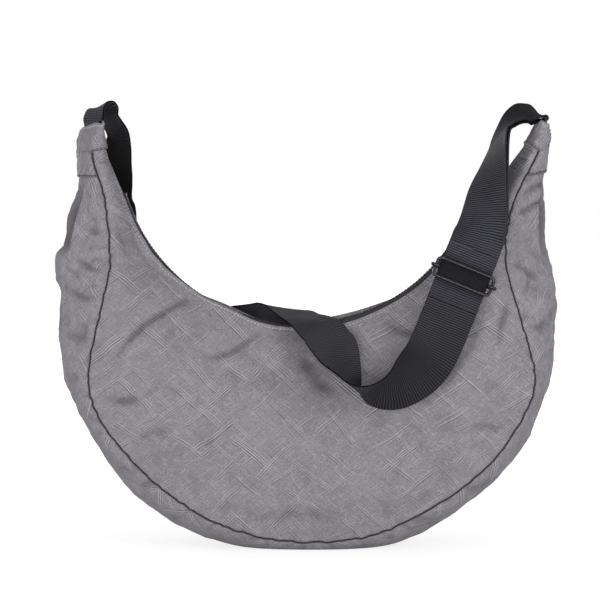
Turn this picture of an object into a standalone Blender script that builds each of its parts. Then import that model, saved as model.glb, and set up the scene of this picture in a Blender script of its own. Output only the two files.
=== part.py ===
"""Half moon sling bag of crinkled nylon on a webbing shoulder strap.

Metres, +Z up, +X to the right of the front, +Y from the front to the back.
The origin is the middle of the flat base that the bag stands on.
"""
import math

import bmesh
import bpy
from mathutils import Matrix, Vector

MM = 0.001

# Driving sizes of the body
BAG_WIDTH = 466 * MM
SEAM_HALF_DEPTH = 48 * MM
BELLY_BULGE = 14 * MM
BASE_HALF_DEPTH = 40 * MM
TIP_TWIST_SHIFT = 22 * MM

# Cloth and its seams
NYLON_THICKNESS = 1.2 * MM
LINING_THICKNESS = 0.6 * MM
CLOTH_GAP = 0.4 * MM
LINING_GAP = 1.7 * MM
LINING_BELOW_TAPE = 3 * MM
SEAM_ALLOWANCE = 2 * MM
LINING_ALLOWANCE = 5 * MM
PIPING_RADIUS = 1.1 * MM
PIPING_PROUD = 0.6 * MM
COLLAR_THICKNESS = 1.2 * MM

# Zip
ZIP_RADIUS = 167.4 * MM
ZIP_HALF_BAND = 8.5 * MM
ZIP_TAPE_THICKNESS = 0.7 * MM
ZIP_TAPE_OVERLAP = 9 * MM
TAPE_UNDER_HEM = 3 * MM
TAPE_LIP = 0.9 * MM
TOOTH_PITCH = 6.6 * MM
TOOTH_HEIGHT = 2 * MM
CHAIN_HALF_WIDTH = 3.4 * MM
CHAIN_SPINE = 1.2 * MM
CHAIN_HALF_SLIT = 0.9 * MM
TAPE_FLAT_HALF_WIDTH = 5.3 * MM
SLIDER_LENGTH = 11 * MM
SLIDER_HALF_WIDTH = 4.7 * MM
SLIDER_PLATE = 1.1 * MM
SLIDER_GAP = 0.35 * MM
SLIDER_LIP = 0.55 * MM
SLIDER_STOP_GAP = 0.3 * MM
BRIDGE_WIDTH = 1.6 * MM
BRIDGE_LENGTH = 7 * MM
BRIDGE_WIRE = 1.2 * MM
BRIDGE_CLEAR = 1.9 * MM
PULL_LENGTH = 21 * MM
PULL_HALF_WIDTH = 3.4 * MM
PULL_THICKNESS = 1.2 * MM
PULL_EYE_LENGTH = 6.5 * MM
PULL_TAPER_SHARE = 0.72
PULL_GAP = 0.35 * MM
STOP_LENGTH = 3.2 * MM

# Strap and its metal
STRAP_WIDTH = 47 * MM
STRAP_THICKNESS = 1.3 * MM
METAL_GAP = 0.35 * MM
ADJUSTER_WIRE_RADIUS = 1.5 * MM
ADJUSTER_HEIGHT = 20 * MM
ADJUSTER_SIDE_GAP = 2 * MM
ADJUSTER_CORNER = 4 * MM
STRAIGHT_ABOVE = 26 * MM
STRAIGHT_BELOW = 27 * MM
STRAIGHT_EASE = 2 * MM
END_HEM_LENGTH = 5.5 * MM
END_LEG_LENGTH = 22 * MM
RETURN_END = 13 * MM
RING_WIRE_RADIUS = 1.15 * MM
RING_GAP = 0.6 * MM
RING_HEIGHT = 10.5 * MM
RING_SIDE_GAP = 1.4 * MM
RING_CORNER = 1.8 * MM
RING_SUNK = 3 * MM
TAB_DEPTH = 18 * MM
TAB_HALF_WIDTH = 20 * MM
TAB_THICKNESS = 0.9 * MM
STRAP_SEWN_DEPTH = 24 * MM
TIP_HALF_DEPTH = STRAP_WIDTH + 1 * MM

# The photograph's own measure: columns and rows of its 600 by 600 frame
LEFT_COLUMN_PX = 57.4
RIGHT_COLUMN_PX = 558.3
BASE_ROW_PX = 548
BASE_COLUMN_PX = 304
VIEW_COLUMN_PX = 300
EYE_ROW_PX = 135
ARC_CENTRE_PX = (300, 143)
VIEW_DISTANCE = 2100 * MM
PX = BAG_WIDTH / (RIGHT_COLUMN_PX - LEFT_COLUMN_PX)
EYE_HEIGHT = (BASE_ROW_PX - EYE_ROW_PX) * PX * (1 - BASE_HALF_DEPTH / VIEW_DISTANCE)

# One row a section, from the left tip to the right tip: the mouth's angle and
# radius about the arc's centre, the front seam, the outer line, and how much
# higher the back hem stands, all in pixels (the angle in degrees)
SECTIONS_PX = [
    (-95.0, 202.8, (103.0, 126.0), (89.0, 127.0), 0),
    (-88.2, 193.1, (93.5, 152.0), (80.0, 152.0), 0),
    (-79.0, 185.3, (100.5, 177.0), (79.0, 178.0), 0),
    (-71.0, 183.5, (108.0, 203.0), (73.0, 203.0), -2),
    (-57.0, 189.5, (112.0, 255.0), (59.5, 255.0), -4),
    (-50.0, 190.0, (110.0, 278.0), (57.5, 285.0), -4),
    (-43.0, 185.0, (103.0, 305.0), (58.4, 316.0), -4),
    (-31.5, 179.5, (89.5, 370.0), (63.5, 374.0), -3),
    (-26.0, 178.0, (95.0, 406.0), (77.0, 404.0), -2),
    (-20.5, 178.5, (115.0, 439.0), (94.0, 437.0), -2),
    (-15.0, 181.5, (149.0, 476.0), (130.0, 487.0), -1),
    (-10.0, 184.0, (198.0, 513.0), (182.0, 524.0), 0),
    (-5.0, 185.5, (250.0, 533.5), (241.0, 547.0), 1),
    (1.0, 185.0, (303.0, 541.0), (303.0, 552.0), 3),
    (7.0, 185.5, (356.0, 537.5), (366.0, 549.0), 6),
    (13.0, 187.0, (404.0, 522.0), (420.0, 533.0), 8),
    (25.0, 186.0, (487.0, 468.5), (507.0, 467.0), 5),
    (37.0, 186.7, (531.5, 396.0), (543.0, 396.0), 0),
    (42.5, 186.7, (531.0, 360.0), (549.5, 360.0), -2),
    (54.0, 186.1, (510.0, 288.0), (558.3, 297.0), -3),
    (60.0, 185.6, (503.5, 262.0), (551.5, 271.0), -3),
    (72.0, 192.4, (506.0, 216.0), (546.5, 216.0), -3),
    (84.0, 209.0, (524.0, 174.5), (545.0, 170.0), 0),
    (89.5, 223.0, (536.0, 152.0), (547.5, 147.0), 0),
    (95.0, 236.0, (543.5, 126.0), (547.0, 126.0), 0),
]
# At the same sections: shares of the half depth, which goes from the tips' to
# the seam's, of the belly's bulge, the zip's half band and the tip's twist,
# and how square the section is
DEPTH_SHARES = [0.62, 0.6, 0.6, 0.64, 0.66, 0.67, 0.73, 0.86, 0.92, 0.96, 0.98, 1, 1,
                1, 1, 1, 1, 0.96, 0.9, 0.71, 0.66, 0.62, 0.6, 0.61, 0.63]
TIP_SHARES = [1, 1, 0.75, 0.5, 0.25, 0, 0, 0, 0, 0, 0, 0, 0, 0, 0, 0, 0, 0, 0, 0.25, 0.5,
              0.75, 1, 1, 1]
BULGE_SHARES = [0, 0.05, 0.15, 0.2, 0.3, 0.4, 0.5, 0.8, 0.9, 1, 1, 1, 1, 1, 1, 1, 1,
                0.9, 0.75, 0.45, 0.35, 0.25, 0.15, 0.05, 0]
BAND_SHARES = [0.06, 0.06, 0.25, 0.8, 1, 1, 1, 1, 1, 1, 1, 1, 1, 1, 1, 1, 1, 1, 1, 1,
               1, 1, 0.25, 0.06, 0.06]
TWIST_SHARES = [1, 0.8, 0.6, 0.36, 0, 0, 0, 0, 0, 0, 0, 0, 0, 0, 0, 0, 0, 0, 0, 0, 0,
                0, 0, 0, 0]
SQUARE_SHARES = [0.7, 0.4, 0.1, 0, 0, 0, 0, 0, 0, 0, 0, 0, 0, 0, 0, 0, 0, 0, 0, 0, 0, 0,
                 0, 0.5, 1]
SILHOUETTE_SHARE = 0.7
CROWN_POWER = 2.2
SQUARE_CROWN_POWER = 6
SQUARE_TURN_POWER = 0.45
OUTER_TWIST_SHARE = 0.07
STEPS_A_SECTION = 2
PANEL_ROWS = 6
GUSSET_ROWS = 8
LINING_PANEL_ROWS = 4
LINING_GUSSET_ROWS = 5
FINE_STEPS = 40

# Where pieces begin and end, counted in rows of the table above
COLLAR_SPAN = 1
FACING_SPAN = 2
FACING_START_SHARE = 0.1
LINING_START = 2
ZIP_START_DEG = -74
ZIP_END_DEG = 71
SLIDER_REST_REACH = STOP_LENGTH + SLIDER_STOP_GAP + SLIDER_LENGTH / 2
SLIDER_REST_DEG = ZIP_END_DEG - math.degrees(SLIDER_REST_REACH / ZIP_RADIUS)

# The strap's route from the left tip to the arch over the right tip: column,
# row, depth in shares of the strap's width, and the direction across it
STRAP_START_ROUTE = [
    ((95.5, 120.5), 0.02, (-0.40, 0.91, 0.00)),
    ((98.3, 112.0), 0.08, (-0.45, 0.88, -0.10)),
    ((103.0, 105.5), 0.22, (-0.52, 0.84, -0.16)),
    ((106.5, 113.0), 0.42, (-0.62, 0.78, -0.10)),
    ((106.0, 128.0), 0.62, (-0.78, 0.62, 0.00)),
    ((105.0, 148.0), 0.80, (-0.93, 0.36, 0.00)),
    ((104.5, 172.0), 0.92, (-1.00, 0.10, 0.00)),
    ((106.0, 205.0), 0.98, (-1.00, 0.00, -0.05)),
    ((111.0, 245.0), 1.05, (-0.98, 0.00, -0.20)),
    ((122.0, 290.0), 1.15, (-0.87, 0.00, -0.48)),
    ((140.0, 325.0), 1.28, (-0.60, 0.00, -0.80)),
    ((165.0, 348.0), 1.38, (-0.20, 0.00, -0.98)),
    ((194.0, 350.0), 1.42, (0.25, 0.05, -0.95)),
    ((222.0, 335.0), 1.34, (0.65, 0.25, -0.70)),
    ((247.5, 314.5), 1.06, (0.85, 0.45, -0.25)),
    ((284.5, 307.0), 0.46, (0.90, 0.40, -0.15)),
    ((299.0, 312.5), 0.06, (0.95, 0.30, -0.06)),
    ((308.5, 315.5), -0.17, (0.98, 0.22, 0.05)),
    ((316.5, 320.0), -0.40, (0.93, 0.30, 0.12)),
    ((326.5, 331.5), -0.58, (0.85, 0.46, 0.18)),
    ((333.5, 345.4), -0.88, (0.76, 0.58, 0.26)),
    ((342.2, 367.2), -1.28, (0.60, 0.78, 0.15)),
    ((349.3, 380.5), -1.55, (0.28, 0.95, 0.02)),
    ((358.0, 388.0), -1.66, (0.02, 0.98, -0.18)),
    ((374.0, 391.1), -1.66, (0.12, 0.87, -0.48)),
    ((396.4, 386.7), -1.55, (0.45, 0.60, -0.66)),
    ((420.2, 366.7), -1.32, (0.80, 0.15, -0.58)),
    ((434.0, 345.0), -1.16, (0.90, 0.02, -0.42)),
]
ADJUSTER_PX = (462.0, 275.3)
ADJUSTER_DEPTH_SHARE = -1.06
ADJUSTER_RUN = (-0.37, -0.14, -0.90)
ADJUSTER_ACROSS = (0.95, 0.00, -0.31)
STRAP_END_ROUTE = [
    ((478.5, 229.0), -0.93, (0.86, -0.45, -0.22)),
    ((482.0, 212.5), -0.82, (0.75, -0.62, -0.21)),
    ((487.4, 187.0), -0.65, (0.60, -0.78, -0.19)),
    ((493.8, 162.0), -0.43, (0.39, -0.92, -0.09)),
    ((499.8, 139.5), -0.22, (0.18, -0.98, -0.02)),
    ((505.0, 127.5), -0.12, (0.10, -0.98, -0.12)),
    ((511.8, 118.6), -0.06, (0.02, -0.96, -0.24)),
    ((520.0, 113.0), -0.02, (-0.04, -0.94, -0.31)),
    ((531.0, 112.6), 0.00, (-0.02, -0.98, -0.16)),
]
STRAP_STEPS = 2
WRAP_START_DEG = 100
WRAP_END_DEG = -125
RETURN_LAYERS_SHARE = 2.45
WRAP_STEPS = 8
WIRE_BEVEL = 2
PIPING_BEVEL = 2
CORNER_STEPS = 3
EYE_START_DEG = -90
EYE_TURN_DEG = 250
EYE_STEPS = 8
CLOTH_CREASE_DEG = 50
METAL_EDGE_DEG = 30


def spot(pixel, depth=0.0):
    """The place at a depth behind the bag's middle that shows at a pixel."""
    near = 1 + depth / VIEW_DISTANCE
    across = (pixel[0] - VIEW_COLUMN_PX) * near + VIEW_COLUMN_PX - BASE_COLUMN_PX
    down = (pixel[1] - EYE_ROW_PX) * near
    return Vector((across * PX, depth, EYE_HEIGHT - down * PX))


ARC_CENTRE = spot(ARC_CENTRE_PX)


def arc_point(degrees, radius, depth=0.0):
    angle = math.radians(degrees)
    return ARC_CENTRE + Vector((radius * math.sin(angle), depth, -radius * math.cos(angle)))


def smooth(values, position):
    """A smooth curve through values of any kind at a fractional position."""
    last = len(values) - 1
    index = min(int(position), last - 1)
    t = position - index
    before = values[max(index - 1, 0)]
    start, end = values[index], values[index + 1]
    after = values[min(index + 2, last)]
    pull_in = (end - before) / 2
    pull_out = (after - start) / 2
    rise = start * (2 * t ** 3 - 3 * t ** 2 + 1) + end * (3 * t ** 2 - 2 * t ** 3)
    return rise + pull_in * (t ** 3 - 2 * t ** 2 + t) + pull_out * (t ** 3 - t ** 2)


def between(values, position):
    """A straight line between neighbouring values, for shares."""
    index = min(int(position), len(values) - 2)
    return values[index] + (values[index + 1] - values[index]) * (position - index)


def walk(points, start, end, count):
    """Count points at even steps along a line, trimmed by lengths at its ends."""
    lengths = [0.0]
    for a, b in zip(points, points[1:]):
        lengths.append(lengths[-1] + (b - a).length)
    picked = []
    for step in range(count):
        target = start + (lengths[-1] - start - end) * step / (count - 1)
        index = 0
        while index < len(lengths) - 2 and lengths[index + 1] < target:
            index += 1
        part = (target - lengths[index]) / (lengths[index + 1] - lengths[index])
        picked.append(points[index].lerp(points[index + 1], part))
    return picked


class Section:
    """The bag cut across its crescent: hems, seams and the lines between."""

    def __init__(self, position):
        rows = SECTIONS_PX
        angle = smooth([row[0] for row in rows], position)
        radius_px = smooth([row[1] for row in rows], position)
        seam_px = smooth([Vector(row[2]) for row in rows], position)
        outer_px = smooth([Vector(row[3]) for row in rows], position)
        back_rise_px = between([row[4] for row in rows], position)
        tip = between(TIP_SHARES, position)
        deepest = SEAM_HALF_DEPTH + (TIP_HALF_DEPTH - SEAM_HALF_DEPTH) * tip
        half_depth = between(DEPTH_SHARES, position) * deepest
        self.bulge = between(BULGE_SHARES, position) * BELLY_BULGE
        band = between(BAND_SHARES, position) * ZIP_HALF_BAND
        twist = between(TWIST_SHARES, position) * TIP_TWIST_SHIFT
        self.angle = angle
        seam = spot(seam_px, -half_depth)
        outer = spot(outer_px, -SILHOUETTE_SHARE * half_depth)
        outer.y = 0
        hem = arc_point(angle, radius_px * PX, -band)
        away = Vector((outer.x - hem.x, 0, outer.z - hem.z)).normalized()
        self.front_hem = hem
        self.front_seam = seam
        self.back_seam = Vector((seam.x, half_depth, seam.z)) + away * twist
        self.back_hem = arc_point(angle, (radius_px - back_rise_px) * PX, band)
        self.outer = outer + away * twist * OUTER_TWIST_SHARE
        self.square = between(SQUARE_SHARES, position)

    def middle(self):
        return (self.front_seam + self.back_seam) / 2

    def core(self):
        """The middle of the room inside a tip."""
        return ((self.front_hem + self.back_hem) / 2 + self.outer) / 2

    def panel(self, side):
        """From the hem to the seam; side is -1 at the front and 1 at the back."""
        hem = self.front_hem if side < 0 else self.back_hem
        seam = self.front_seam if side < 0 else self.back_seam
        power = CROWN_POWER + self.square * SQUARE_CROWN_POWER
        middle = self.middle()
        line = []
        for step in range(FINE_STEPS + 1):
            v = (step / FINE_STEPS) ** (1 + self.square)
            crown = 1 - (1 - v) ** power
            point = hem + (middle - hem) * v + (seam - middle) * crown
            point.y = hem.y + (seam.y - hem.y) * crown
            point.y += side * self.bulge * math.sin(math.pi * v)
            line.append(point)
        return line

    def gusset(self):
        """From the front seam round the outer line to the back seam."""
        power = 1 - self.square * SQUARE_TURN_POWER
        line = []
        for step in range(-FINE_STEPS, FINE_STEPS + 1):
            turn = step / FINE_STEPS * math.pi / 2
            seam = self.front_seam if step < 0 else self.back_seam
            out = max(math.cos(turn), 0) ** power
            back = abs(math.sin(turn)) ** power
            twist = self.middle() - seam
            twist.y = 0
            base = seam + twist * (1 - back)
            point = base + (self.outer - self.middle()) * out
            point.y = seam.y * back
            point.z = max(point.z, 0)
            line.append(point)
        return line

    def panel_row(self, side):
        return walk(self.panel(side), 0, SEAM_ALLOWANCE, PANEL_ROWS + 1)

    def gusset_row(self):
        return walk(self.gusset(), SEAM_ALLOWANCE, SEAM_ALLOWANCE, GUSSET_ROWS + 1)

    def ring(self):
        """The whole outline, from the front hem round to the back hem."""
        return self.panel_row(-1) + self.gusset_row() + self.panel_row(1)[::-1]


def positions(first, last, steps=STEPS_A_SECTION):
    count = round(abs(last - first) * steps)
    return [first + (last - first) * i / count for i in range(count + 1)]


def material(name, colour, roughness, metallic=0.0):
    made = bpy.data.materials.new(name)
    made.use_nodes = True
    shader = made.node_tree.nodes["Principled BSDF"]
    shader.inputs["Base Color"].default_value = (*colour, 1)
    shader.inputs["Roughness"].default_value = roughness
    shader.inputs["Metallic"].default_value = metallic
    return made


def new_object(name, mesh, finish):
    made = bpy.data.objects.new(name, mesh)
    bpy.context.scene.collection.objects.link(made)
    mesh.materials.append(finish)
    return made


def from_bmesh(name, bm, finish):
    mesh = bpy.data.meshes.new(name)
    bmesh.ops.recalc_face_normals(bm, faces=bm.faces)
    bm.to_mesh(mesh)
    bm.free()
    mesh.shade_smooth()
    mesh.set_sharp_from_angle(angle=math.radians(METAL_EDGE_DEG))
    return new_object(name, mesh, finish)


def thicken(made, thickness, offset):
    """Gives a sheet its thickness: offset 1 adds it outside, 0 on both sides."""
    solid = made.modifiers.new("thickness", "SOLIDIFY")
    solid.thickness = thickness
    solid.offset = offset
    solid.use_even_offset = False
    solid.use_rim = True
    return made


def sheet(name, rows, finish, thickness, offset=1, closed=False, flip=False, turned=0):
    """A cloth sheet through rows of points, thickened by a Solidify modifier.

    A sheet that turns back on itself after a row is cut into triangles, so that
    both of its layers are cut along the same diagonals.
    """
    vertices = [point for row in rows for point in row]
    width = len(rows[0])
    columns = width if closed else width - 1
    faces = []
    for i in range(len(rows) - 1):
        for j in range(columns):
            k = (j + 1) % width
            a, b, c, d = (i * width + j, i * width + k, (i + 1) * width + k,
                          (i + 1) * width + j)
            parts = [(a, b, c, d)]
            if turned:
                parts = [(a, b, c), (a, c, d)] if i < turned else [(a, b, d), (b, c, d)]
            faces += [part if flip else part[::-1] for part in parts]
    mesh = bpy.data.meshes.new(name)
    mesh.from_pydata(vertices, [], faces)
    mesh.shade_smooth()
    mesh.set_sharp_from_angle(angle=math.radians(CLOTH_CREASE_DEG))
    return thicken(new_object(name, mesh, finish), thickness, offset)


def inward(rows, depth):
    """The rows moved along their own normals, into the bag for a depth above 0."""
    moved = []
    for i, row in enumerate(rows):
        line = []
        for j, point in enumerate(row):
            along = rows[min(i + 1, len(rows) - 1)][j] - rows[max(i - 1, 0)][j]
            over = row[min(j + 1, len(row) - 1)] - row[max(j - 1, 0)]
            line.append(point + along.cross(over).normalized() * depth)
        moved.append(line)
    return moved


def tube(name, points, radius, finish, resolution, cyclic=False):
    """A round bar or cord along points, with flat ends."""
    curve = bpy.data.curves.new(name, "CURVE")
    curve.dimensions = "3D"
    curve.bevel_depth = radius
    curve.bevel_resolution = resolution
    curve.use_fill_caps = not cyclic
    spline = curve.splines.new("POLY")
    spline.points.add(len(points) - 1)
    for place, point in zip(spline.points, points):
        place.co = (*point, 1)
    spline.use_cyclic_u = cyclic
    return new_object(name, curve, finish)


LAST = len(SECTIONS_PX) - 1
NYLON = material("crinkled nylon", (0.24, 0.23, 0.255), 0.72)
LINING = material("lining", (0.006, 0.007, 0.009), 0.8)
PIPING = material("piping", (0.012, 0.011, 0.014), 0.6)
WEBBING = material("webbing", (0.036, 0.036, 0.044), 0.5)
METAL = material("black metal", (0.012, 0.012, 0.013), 0.3, 1.0)
ZIP_CLOTH = material("zip tape", (0.009, 0.009, 0.011), 0.7)
TEETH = material("zip teeth", (0.012, 0.012, 0.014), 0.35)


def build_shell():
    """Front and back panels, the gusset and the piping in the two seams."""
    cuts = [Section(position) for position in positions(0, LAST)]
    for name, side in (("front_panel", -1), ("back_panel", 1)):
        rows = [cut.panel_row(side) for cut in cuts]
        sheet(name, rows, NYLON, NYLON_THICKNESS, -1, flip=side < 0)
    rows = [cut.gusset_row() for cut in cuts]
    sheet("gusset", rows, NYLON, NYLON_THICKNESS, -1, flip=True)
    inner = [Section(position) for position in positions(COLLAR_SPAN, LAST - COLLAR_SPAN)]
    for name, side in (("front_piping", -1), ("back_piping", 1)):
        beside = [[cut.panel(side)[-3], cut.front_seam if side < 0 else cut.back_seam,
                   cut.gusset()[2 if side < 0 else -3]] for cut in inner]
        beside = inward(beside, side * PIPING_PROUD)
        points = [row[1] for row in beside[1:-1]]
        tube(name, points, PIPING_RADIUS, PIPING, PIPING_BEVEL)


def build_lining():
    """The black lining behind each panel and the gusset, sewn to the tapes."""
    cuts = [Section(position) for position in positions(LINING_START, LAST - LINING_START, 1)]
    depth = NYLON_THICKNESS + LINING_GAP
    start = ZIP_TAPE_OVERLAP + LINING_BELOW_TAPE
    for name, side in (("front_lining", -1), ("back_lining", 1)):
        rows = [walk(cut.panel(side), start, LINING_ALLOWANCE, LINING_PANEL_ROWS + 1)
                for cut in cuts]
        rows = inward(rows, -side * depth)
        sheet(name, rows, LINING, LINING_THICKNESS, -1, flip=side < 0)
    rows = [walk(cut.gusset(), LINING_ALLOWANCE, LINING_ALLOWANCE, LINING_GUSSET_ROWS + 1)
            for cut in cuts]
    sheet("gusset_lining", inward(rows, depth), LINING, LINING_THICKNESS, -1, flip=True)


def build_collars():
    """The sewn sleeve round each tip, with a longer facing over the gusset."""
    for side, end, way in (("left", 0, 1), ("right", LAST, -1)):
        places = positions(end, end + way * COLLAR_SPAN)
        rows = outward_loops([Section(place).ring() for place in places], CLOTH_GAP * way)
        sheet(side + "_collar", rows, NYLON, COLLAR_THICKNESS, 1, closed=True, flip=way > 0)
        places = positions(end + way * COLLAR_SPAN, end + way * FACING_SPAN)
        rows = [Section(place).gusset_row() for place in places]
        rows = [row[1:-1] for row in inward(rows, -way * CLOTH_GAP)]
        rows[0] = [a.lerp(b, FACING_START_SHARE) for a, b in zip(rows[0], rows[1])]
        sheet(side + "_gusset_facing", rows, NYLON, COLLAR_THICKNESS, 1, flip=way > 0)


def outward_loops(rows, distance):
    """Closed loops moved out of the middle by a distance."""
    moved = []
    for i, row in enumerate(rows):
        line = []
        count = len(row)
        for j, point in enumerate(row):
            along = rows[min(i + 1, len(rows) - 1)][j] - rows[max(i - 1, 0)][j]
            over = row[(j + 1) % count] - row[(j - 1) % count]
            line.append(point - along.cross(over).normalized() * distance)
        moved.append(line)
    return moved


def zip_positions():
    """Section positions between the zip's ends, by their mouth angle."""
    return [place for place in positions(0, LAST)
            if ZIP_START_DEG <= Section(place).angle <= ZIP_END_DEG]


def build_zip():
    """Two tapes, two rows of teeth, end stops, slider and pull."""
    cuts = [Section(place) for place in zip_positions()]
    depth = NYLON_THICKNESS + CLOTH_GAP + ZIP_TAPE_THICKNESS / 2
    for name, side in (("zip_tape_front", -1), ("zip_tape_back", 1)):
        reaches = (0, TAPE_UNDER_HEM, ZIP_TAPE_OVERLAP - CLOTH_GAP)
        under = [[walk(cut.panel(side), reach, 0, 2)[0] for reach in reaches]
                 for cut in cuts]
        lips = inward(under, -side * (depth + TAPE_LIP))
        under = inward(under, -side * depth)
        rows = []
        for cut, lip, tucked in zip(cuts, lips, under):
            inner = arc_point(cut.angle, ZIP_RADIUS, side * (CHAIN_HALF_WIDTH + CLOTH_GAP))
            flat = arc_point(cut.angle, ZIP_RADIUS, side * TAPE_FLAT_HALF_WIDTH)
            rows.append([inner, flat, lip[0], tucked[1], lip[2]])
        sheet(name, rows, ZIP_CLOTH, ZIP_TAPE_THICKNESS, 0, flip=side < 0)
    build_teeth()
    build_slider()


def build_teeth():
    """A comb of teeth on each tape, one row half a pitch behind the other."""
    step = math.degrees(TOOTH_PITCH / ZIP_RADIUS)
    stop = math.degrees(STOP_LENGTH / ZIP_RADIUS)
    count = int((ZIP_END_DEG - ZIP_START_DEG - 2 * stop) / step)
    spine_in = CHAIN_HALF_WIDTH - CHAIN_SPINE
    for name, side in (("zip_teeth_front", -1), ("zip_teeth_back", 1)):
        vertices = []
        faces = []
        begin = ZIP_START_DEG + stop + (step / 2 if side > 0 else 0)
        for index in range(2 * count):
            angle = begin + index * step / 2
            for reach in (CHAIN_HALF_WIDTH, spine_in, CHAIN_HALF_SLIT):
                vertices.append(arc_point(angle, ZIP_RADIUS, side * reach))
            if index:
                a, b = 3 * (index - 1), 3 * index
                faces.append((a, a + 1, b + 1, b))
                if index % 2:
                    faces.append((a + 1, a + 2, b + 2, b + 1))
        if side > 0:
            faces = [face[::-1] for face in faces]
        used = sorted({index for face in faces for index in face})
        number = {index: place for place, index in enumerate(used)}
        mesh = bpy.data.meshes.new(name)
        mesh.from_pydata([vertices[index] for index in used], [],
                         [[number[index] for index in face] for face in faces])
        thicken(new_object(name, mesh, TEETH), TOOTH_HEIGHT, 0)
    for name, angle, sign in (("zip_bottom_stop", ZIP_START_DEG, 1),
                              ("zip_top_stop", ZIP_END_DEG, -1)):
        box = block(name, STOP_LENGTH - CLOTH_GAP, 2 * CHAIN_HALF_WIDTH, TOOTH_HEIGHT, METAL)
        middle = angle + sign * stop / 2 - sign * math.degrees(CLOTH_GAP / ZIP_RADIUS) / 2
        box.matrix_world = arc_frame(middle)


def arc_frame(degrees):
    """Axes on the zip: X along it, Y to the back, Z out of the bag."""
    angle = math.radians(degrees)
    along = Vector((math.cos(angle), 0, math.sin(angle)))
    out = Vector((-math.sin(angle), 0, math.cos(angle)))
    turn = Matrix((along, Vector((0, 1, 0)), out)).transposed().to_4x4()
    return Matrix.Translation(arc_point(degrees, ZIP_RADIUS)) @ turn


def block(name, length, width, height, finish):
    bm = bmesh.new()
    bmesh.ops.create_cube(bm, size=1, matrix=Matrix.Diagonal((length, width, height, 1)))
    return from_bmesh(name, bm, finish)


def extruded(name, outline, low, high, axis, finish):
    """An outline pushed along an axis: 'X' takes (y, z), 'Z' takes (x, y)."""
    bm = bmesh.new()
    layers = []
    for level in (low, high):
        ring = []
        for a, b in outline:
            place = (level, a, b) if axis == "X" else (a, b, level)
            ring.append(bm.verts.new(place))
        layers.append(ring)
    bm.faces.new(layers[0])
    bm.faces.new(layers[1][::-1])
    for i in range(len(outline)):
        j = (i + 1) % len(outline)
        bm.faces.new((layers[0][i], layers[0][j], layers[1][j], layers[1][i]))
    return from_bmesh(name, bm, finish)


def build_slider():
    """The slider grips both rows of teeth, its web running in their slit."""
    web = CHAIN_HALF_SLIT - SLIDER_GAP
    inner = TOOTH_HEIGHT / 2 + SLIDER_GAP
    outer = inner + SLIDER_PLATE
    half = SLIDER_HALF_WIDTH
    lip = inner - SLIDER_LIP
    wall = CHAIN_HALF_WIDTH + SLIDER_GAP
    quarter = [(web, inner), (wall, inner), (wall, lip), (half, lip), (half, outer)]
    outline = quarter + [(-y, z) for y, z in quarter[::-1]]
    outline += [(-y, -z) for y, z in quarter] + [(y, -z) for y, z in quarter[::-1]]
    slider = extruded("zip_slider", outline, -SLIDER_LENGTH / 2, SLIDER_LENGTH / 2,
                      "X", METAL)
    top = outer + BRIDGE_CLEAR
    foot = BRIDGE_LENGTH / 2
    bridge = extruded("bridge", [
        (-foot, outer - BRIDGE_WIRE / 2), (-foot + BRIDGE_WIRE, outer - BRIDGE_WIRE / 2),
        (-foot + BRIDGE_WIRE, top), (foot - BRIDGE_WIRE, top),
        (foot - BRIDGE_WIRE, outer - BRIDGE_WIRE / 2), (foot, outer - BRIDGE_WIRE / 2),
        (foot, top + BRIDGE_WIRE), (-foot, top + BRIDGE_WIRE)],
        -BRIDGE_WIDTH / 2, BRIDGE_WIDTH / 2, "Z", METAL)
    bridge.data.transform(Matrix.Rotation(math.pi / 2, 4, "X"))
    bridge.hide_render = True
    bridge.display_type = "WIRE"
    join = slider.modifiers.new("bridge", "BOOLEAN")
    join.operation = "UNION"
    join.object = bridge
    frame = arc_frame(SLIDER_REST_DEG)
    slider.matrix_world = frame
    bridge.matrix_world = frame
    build_pull(frame, outer + BRIDGE_CLEAR / 2)


def build_pull(frame, height):
    """A flat pull whose cross bar turns under the slider's bridge."""
    bar = BRIDGE_CLEAR / 2 - PULL_GAP
    inside = BRIDGE_WIDTH / 2 + PULL_GAP
    eye = bar + PULL_EYE_LENGTH
    half = PULL_HALF_WIDTH
    taper = half * PULL_TAPER_SHARE
    bm = bmesh.new()
    rows = [(-bar, half), (bar, half), (eye, half), (eye + half, taper),
            (PULL_LENGTH - taper, taper), (PULL_LENGTH, taper / 2)]
    grid = []
    for x, reach in rows:
        inner_y = min(inside, reach / 2)
        grid.append([bm.verts.new((x, y, 0)) for y in (-reach, -inner_y, inner_y, reach)])
    for i in range(len(rows) - 1):
        for j in range(3):
            if i == 1 and j == 1:
                continue
            bm.faces.new((grid[i][j], grid[i + 1][j], grid[i + 1][j + 1], grid[i][j + 1]))
    mesh = bpy.data.meshes.new("zip_pull")
    bm.to_mesh(mesh)
    bm.free()
    pull = thicken(new_object("zip_pull", mesh, METAL), PULL_THICKNESS, 0)
    turned = Matrix.Rotation(math.pi, 4, "Z")
    pull.matrix_world = frame @ Matrix.Translation((0, 0, height)) @ turned


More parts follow.
